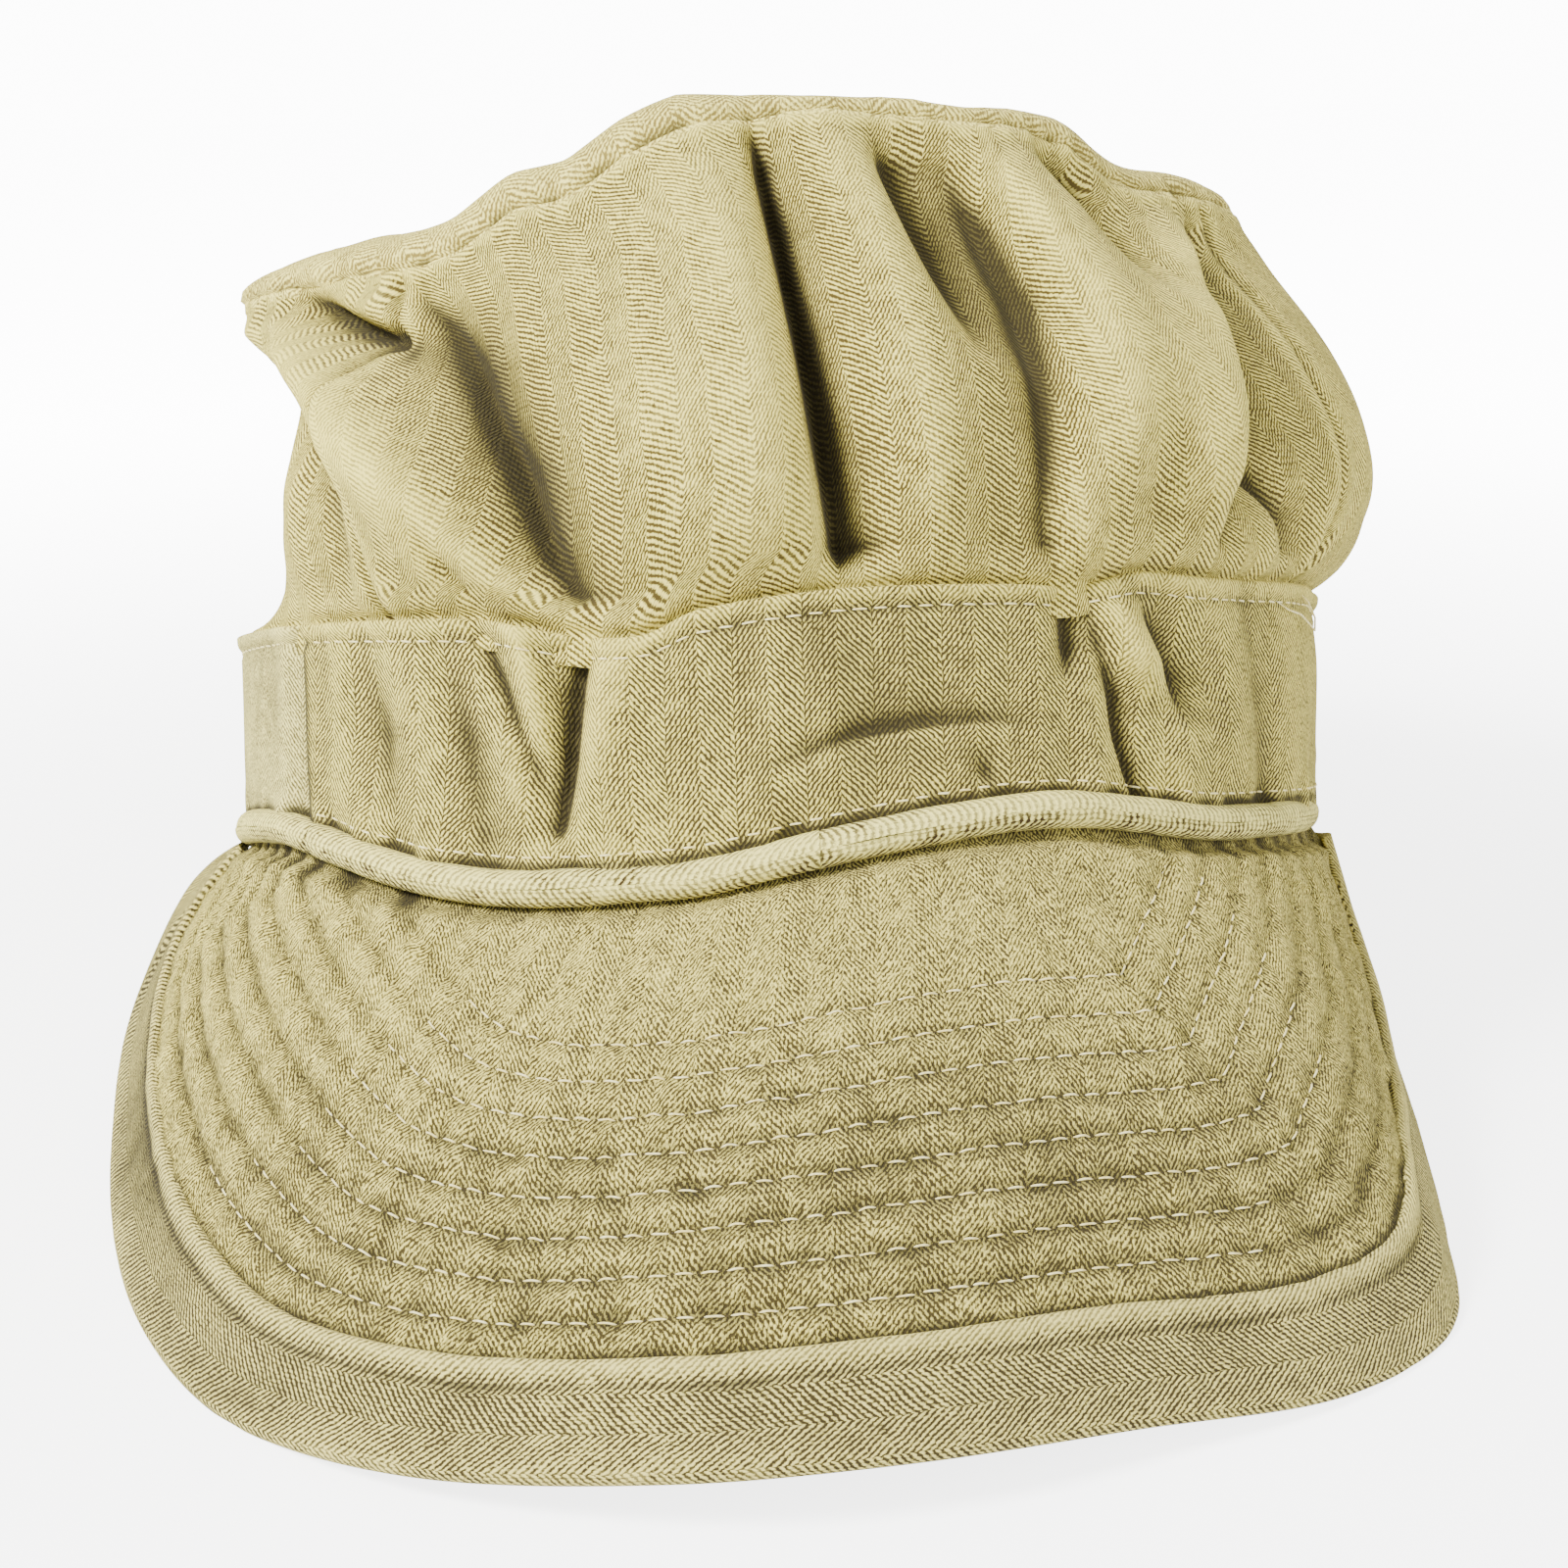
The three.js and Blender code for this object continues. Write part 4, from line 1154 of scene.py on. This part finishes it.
# The third colour of each look is painted shade, mixed in where the fold value is low.
looks = {
    "crown": {"Pale": (250, 234, 120), "Gap": (84, 71, 30), "PaintedShade": (46, 40, 20),
              "Fade": 0.5, "Pebble": 0.1, "Pitch": 0.92},
    "top": {"Pale": (255, 240, 130), "Gap": (134, 118, 56), "PaintedShade": (66, 58, 26),
            "Fade": 0.5, "Pebble": 0.35, "Period": 8.2, "Rise": 0.9, "Fall": 0.9, "Share": 0.5},
    "band": {"Pale": (243, 227, 116), "Gap": (70, 60, 28), "PaintedShade": (46, 40, 20),
             "Fade": 0.6, "Pebble": 0.1, "Share": 0.5, "Rise": 1.2, "Fall": 1.2, "Pitch": 0.98,
             "Column": 0.7},
    "band back": {"Pale": (244, 232, 140), "Gap": (104, 94, 52), "PaintedShade": (50, 45, 24),
                  "Fade": 0.8, "Pebble": 0.3, "Share": 0.5, "Rise": 1.2, "Fall": 1.2, "Pitch": 0.9},
    "roll": {"Pale": (255, 243, 140), "Gap": (60, 45, 20), "PaintedShade": (40, 31, 13),
             "Fade": 0.8, "Pebble": 0.25, "Share": 0.5, "Rise": 0.3, "Fall": 0.4, "Pitch": 1.1,
             "Column": 0.8, "relief": 0.0004},
    "visor": {"Pale": (246, 230, 122), "Gap": (72, 62, 28), "PaintedShade": (44, 38, 17),
              "Fade": 0.35, "Pebble": 0.42, "Share": 0.5, "Rise": 1.2, "Fall": 1.2, "Pitch": 0.85,
              "relief": 0.0004},
    "tape": {"Pale": (232, 218, 126), "Gap": (62, 53, 26), "PaintedShade": (40, 34, 16),
             "Fade": 0.4, "Period": 10.4, "Share": 0.5, "Rise": 1.0, "Fall": 1.0, "Pitch": 0.98,
             "Broken": 1.2, "Pebble": 0.15},
}
materials = {name: clothMaterial(name + "_cloth_look", look) for name, look in looks.items()}


# Thread or needle hole mottled between two colours. spread is where the mottling starts and ends
def fibreMaterial(name, rough, scale, first, second, spread=None):
    material, tree, shader = newMaterial(name, rough)
    place = addNode(tree, "ShaderNodeTexCoord")
    shade = noiseValue(tree, place.outputs["Object"], scale, 2.0, 0.6)
    if spread:
        shade = remap(tree, shade, *spread)
    feed(tree, shader.inputs["Base Color"], mixColours(tree, shade, colour(*first), colour(*second)))
    return material


threadLook = fibreMaterial("thread_look", 0.8, 900.0, (236, 218, 140), (255, 246, 186), (0.35, 0.7))
# The needle holes' darker colours are painted shade.
holeLook = fibreMaterial("hole_look", 1.0, 700.0, (34, 28, 12), (86, 74, 36))


def finishPiece(piece, material, slot, *nodes):
    piece.data.materials.clear()
    piece.data.materials.append(material)
    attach(piece, "root")
    if nodes:
        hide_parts(*nodes)


finishPiece(crownFront, materials["crown"], "crown_cloth", "crown_front")
finishPiece(crownBack, materials["crown"], "crown_cloth", "crown_back")
finishPiece(crownTop, materials["top"], "crown_cloth", "crown_top")
finishPiece(bandFront, materials["band"], "band_cloth", "band_front")
finishPiece(bandBack, materials["band back"], "band_cloth", "band_back")
finishPiece(edgeRoll, materials["roll"], "edge_cloth", "edge_roll")
finishPiece(visorPlate, materials["visor"], "visor_cloth", "visor")
finishPiece(bindingCloth, materials["tape"], "binding_tape", "visor_binding")
finishPiece(visorStitches, threadLook, "visor_cloth")
finishPiece(visorHoles, holeLook, "visor_cloth")
finishPiece(bandStitches, threadLook, "band_cloth")


# Floor, light and camera

studio = {"floorNear": 4.0, "floorFar": 12.0, "seen": 12.5, "light": 0.33}
deselectAll()
bpy.ops.mesh.primitive_plane_add(size=6, location=(0, 0, 0))
floor = bpy.context.object
floor.name = "floor"
floorLook, floorTree, floorShader = newMaterial("floor_look", 0.9)
floorPlace = addNode(floorTree, "ShaderNodeTexCoord")
floorShade = noiseValue(floorTree, floorPlace.outputs["Object"], 3.0)
floorMix = mixColours(floorTree, floorShade, (0.9, 0.9, 0.895, 1), (0.93, 0.93, 0.93, 1))
feed(floorTree, floorShader.inputs["Base Color"], floorMix)
floorRays = addNode(floorTree, "ShaderNodeLightPath")
setInputs(floorShader, {"Emission Color": (1, 1, 1, 1)})
floorReach = vectorMaths(floorTree, "LENGTH", floorPlace.outputs["Object"])
floorBright = remap(floorTree, floorReach, 0.12, 0.7, studio["floorNear"], studio["floorFar"])
floorGlow = maths(floorTree, "MULTIPLY", floorRays.outputs["Is Camera Ray"], floorBright)
feed(floorTree, floorShader.inputs["Emission Strength"], floorGlow)
floor.data.materials.append(floorLook)

world = bpy.data.worlds.new("studio")
bpy.context.scene.world = world
world.use_nodes = True
worldTree = world.node_tree
rays = addNode(worldTree, "ShaderNodeLightPath")
glow = maths(worldTree, "MULTIPLY_ADD", rays.outputs["Is Camera Ray"], studio["seen"] - studio["light"],
             studio["light"])
background = worldTree.nodes["Background"]
background.inputs[0].default_value = (1, 1, 1, 1)
feed(worldTree, background.inputs[1], glow)

lights = {
    "key": {"place": (-0.8, -0.45, 0.85), "size": 0.35, "power": 37},
    "fill": {"place": (0.8, -0.7, 0.5), "size": 1.0, "power": 13},
    "back": {"place": (0.2, 0.9, 0.9), "size": 1.0, "power": 7},
}
for name, light in lights.items():
    lamp = bpy.data.lights.new(name, "AREA")
    lamp.size = light["size"]
    lamp.energy = light["power"]
    holder = bpy.data.objects.new(name, lamp)
    holder.location = light["place"]
    aim = Vector((0, 0, 0.06)) - holder.location
    holder.rotation_euler = aim.to_track_quat("-Z", "Y").to_euler()
    bpy.context.collection.objects.link(holder)

view = {"azimuth": math.radians(-2.80), "elevation": math.radians(18.18), "roll": math.radians(-0.943),
        "place": (-0.02144, -0.36559, 0.16371), "lens": 56.4, "right": 0.0169, "up": 0.005}
azimuth = view["azimuth"]
elevation = view["elevation"]
backWay = Vector((math.sin(azimuth) * math.cos(elevation), -math.cos(azimuth) * math.cos(elevation),
                  math.sin(elevation)))
cameraData = bpy.data.cameras.new("camera")
cameraData.lens = view["lens"]
cameraData.sensor_width = 36
cameraData.clip_start = 0.01
cameraData.shift_x = view["right"]
cameraData.shift_y = view["up"]
cameraObject = bpy.data.objects.new("camera", cameraData)
cameraObject.location = view["place"]
rotation = backWay.to_track_quat("Z", "Y").to_matrix().to_3x3()
turnBack = rotation @ Vector((math.cos(view["roll"]), math.sin(view["roll"]), 0))
turnUp = rotation @ Vector((-math.sin(view["roll"]), math.cos(view["roll"]), 0))
cameraObject.rotation_euler = Matrix((turnBack, turnUp, backWay)).transposed().to_euler()
bpy.context.collection.objects.link(cameraObject)
bpy.context.scene.camera = cameraObject

print("studio")
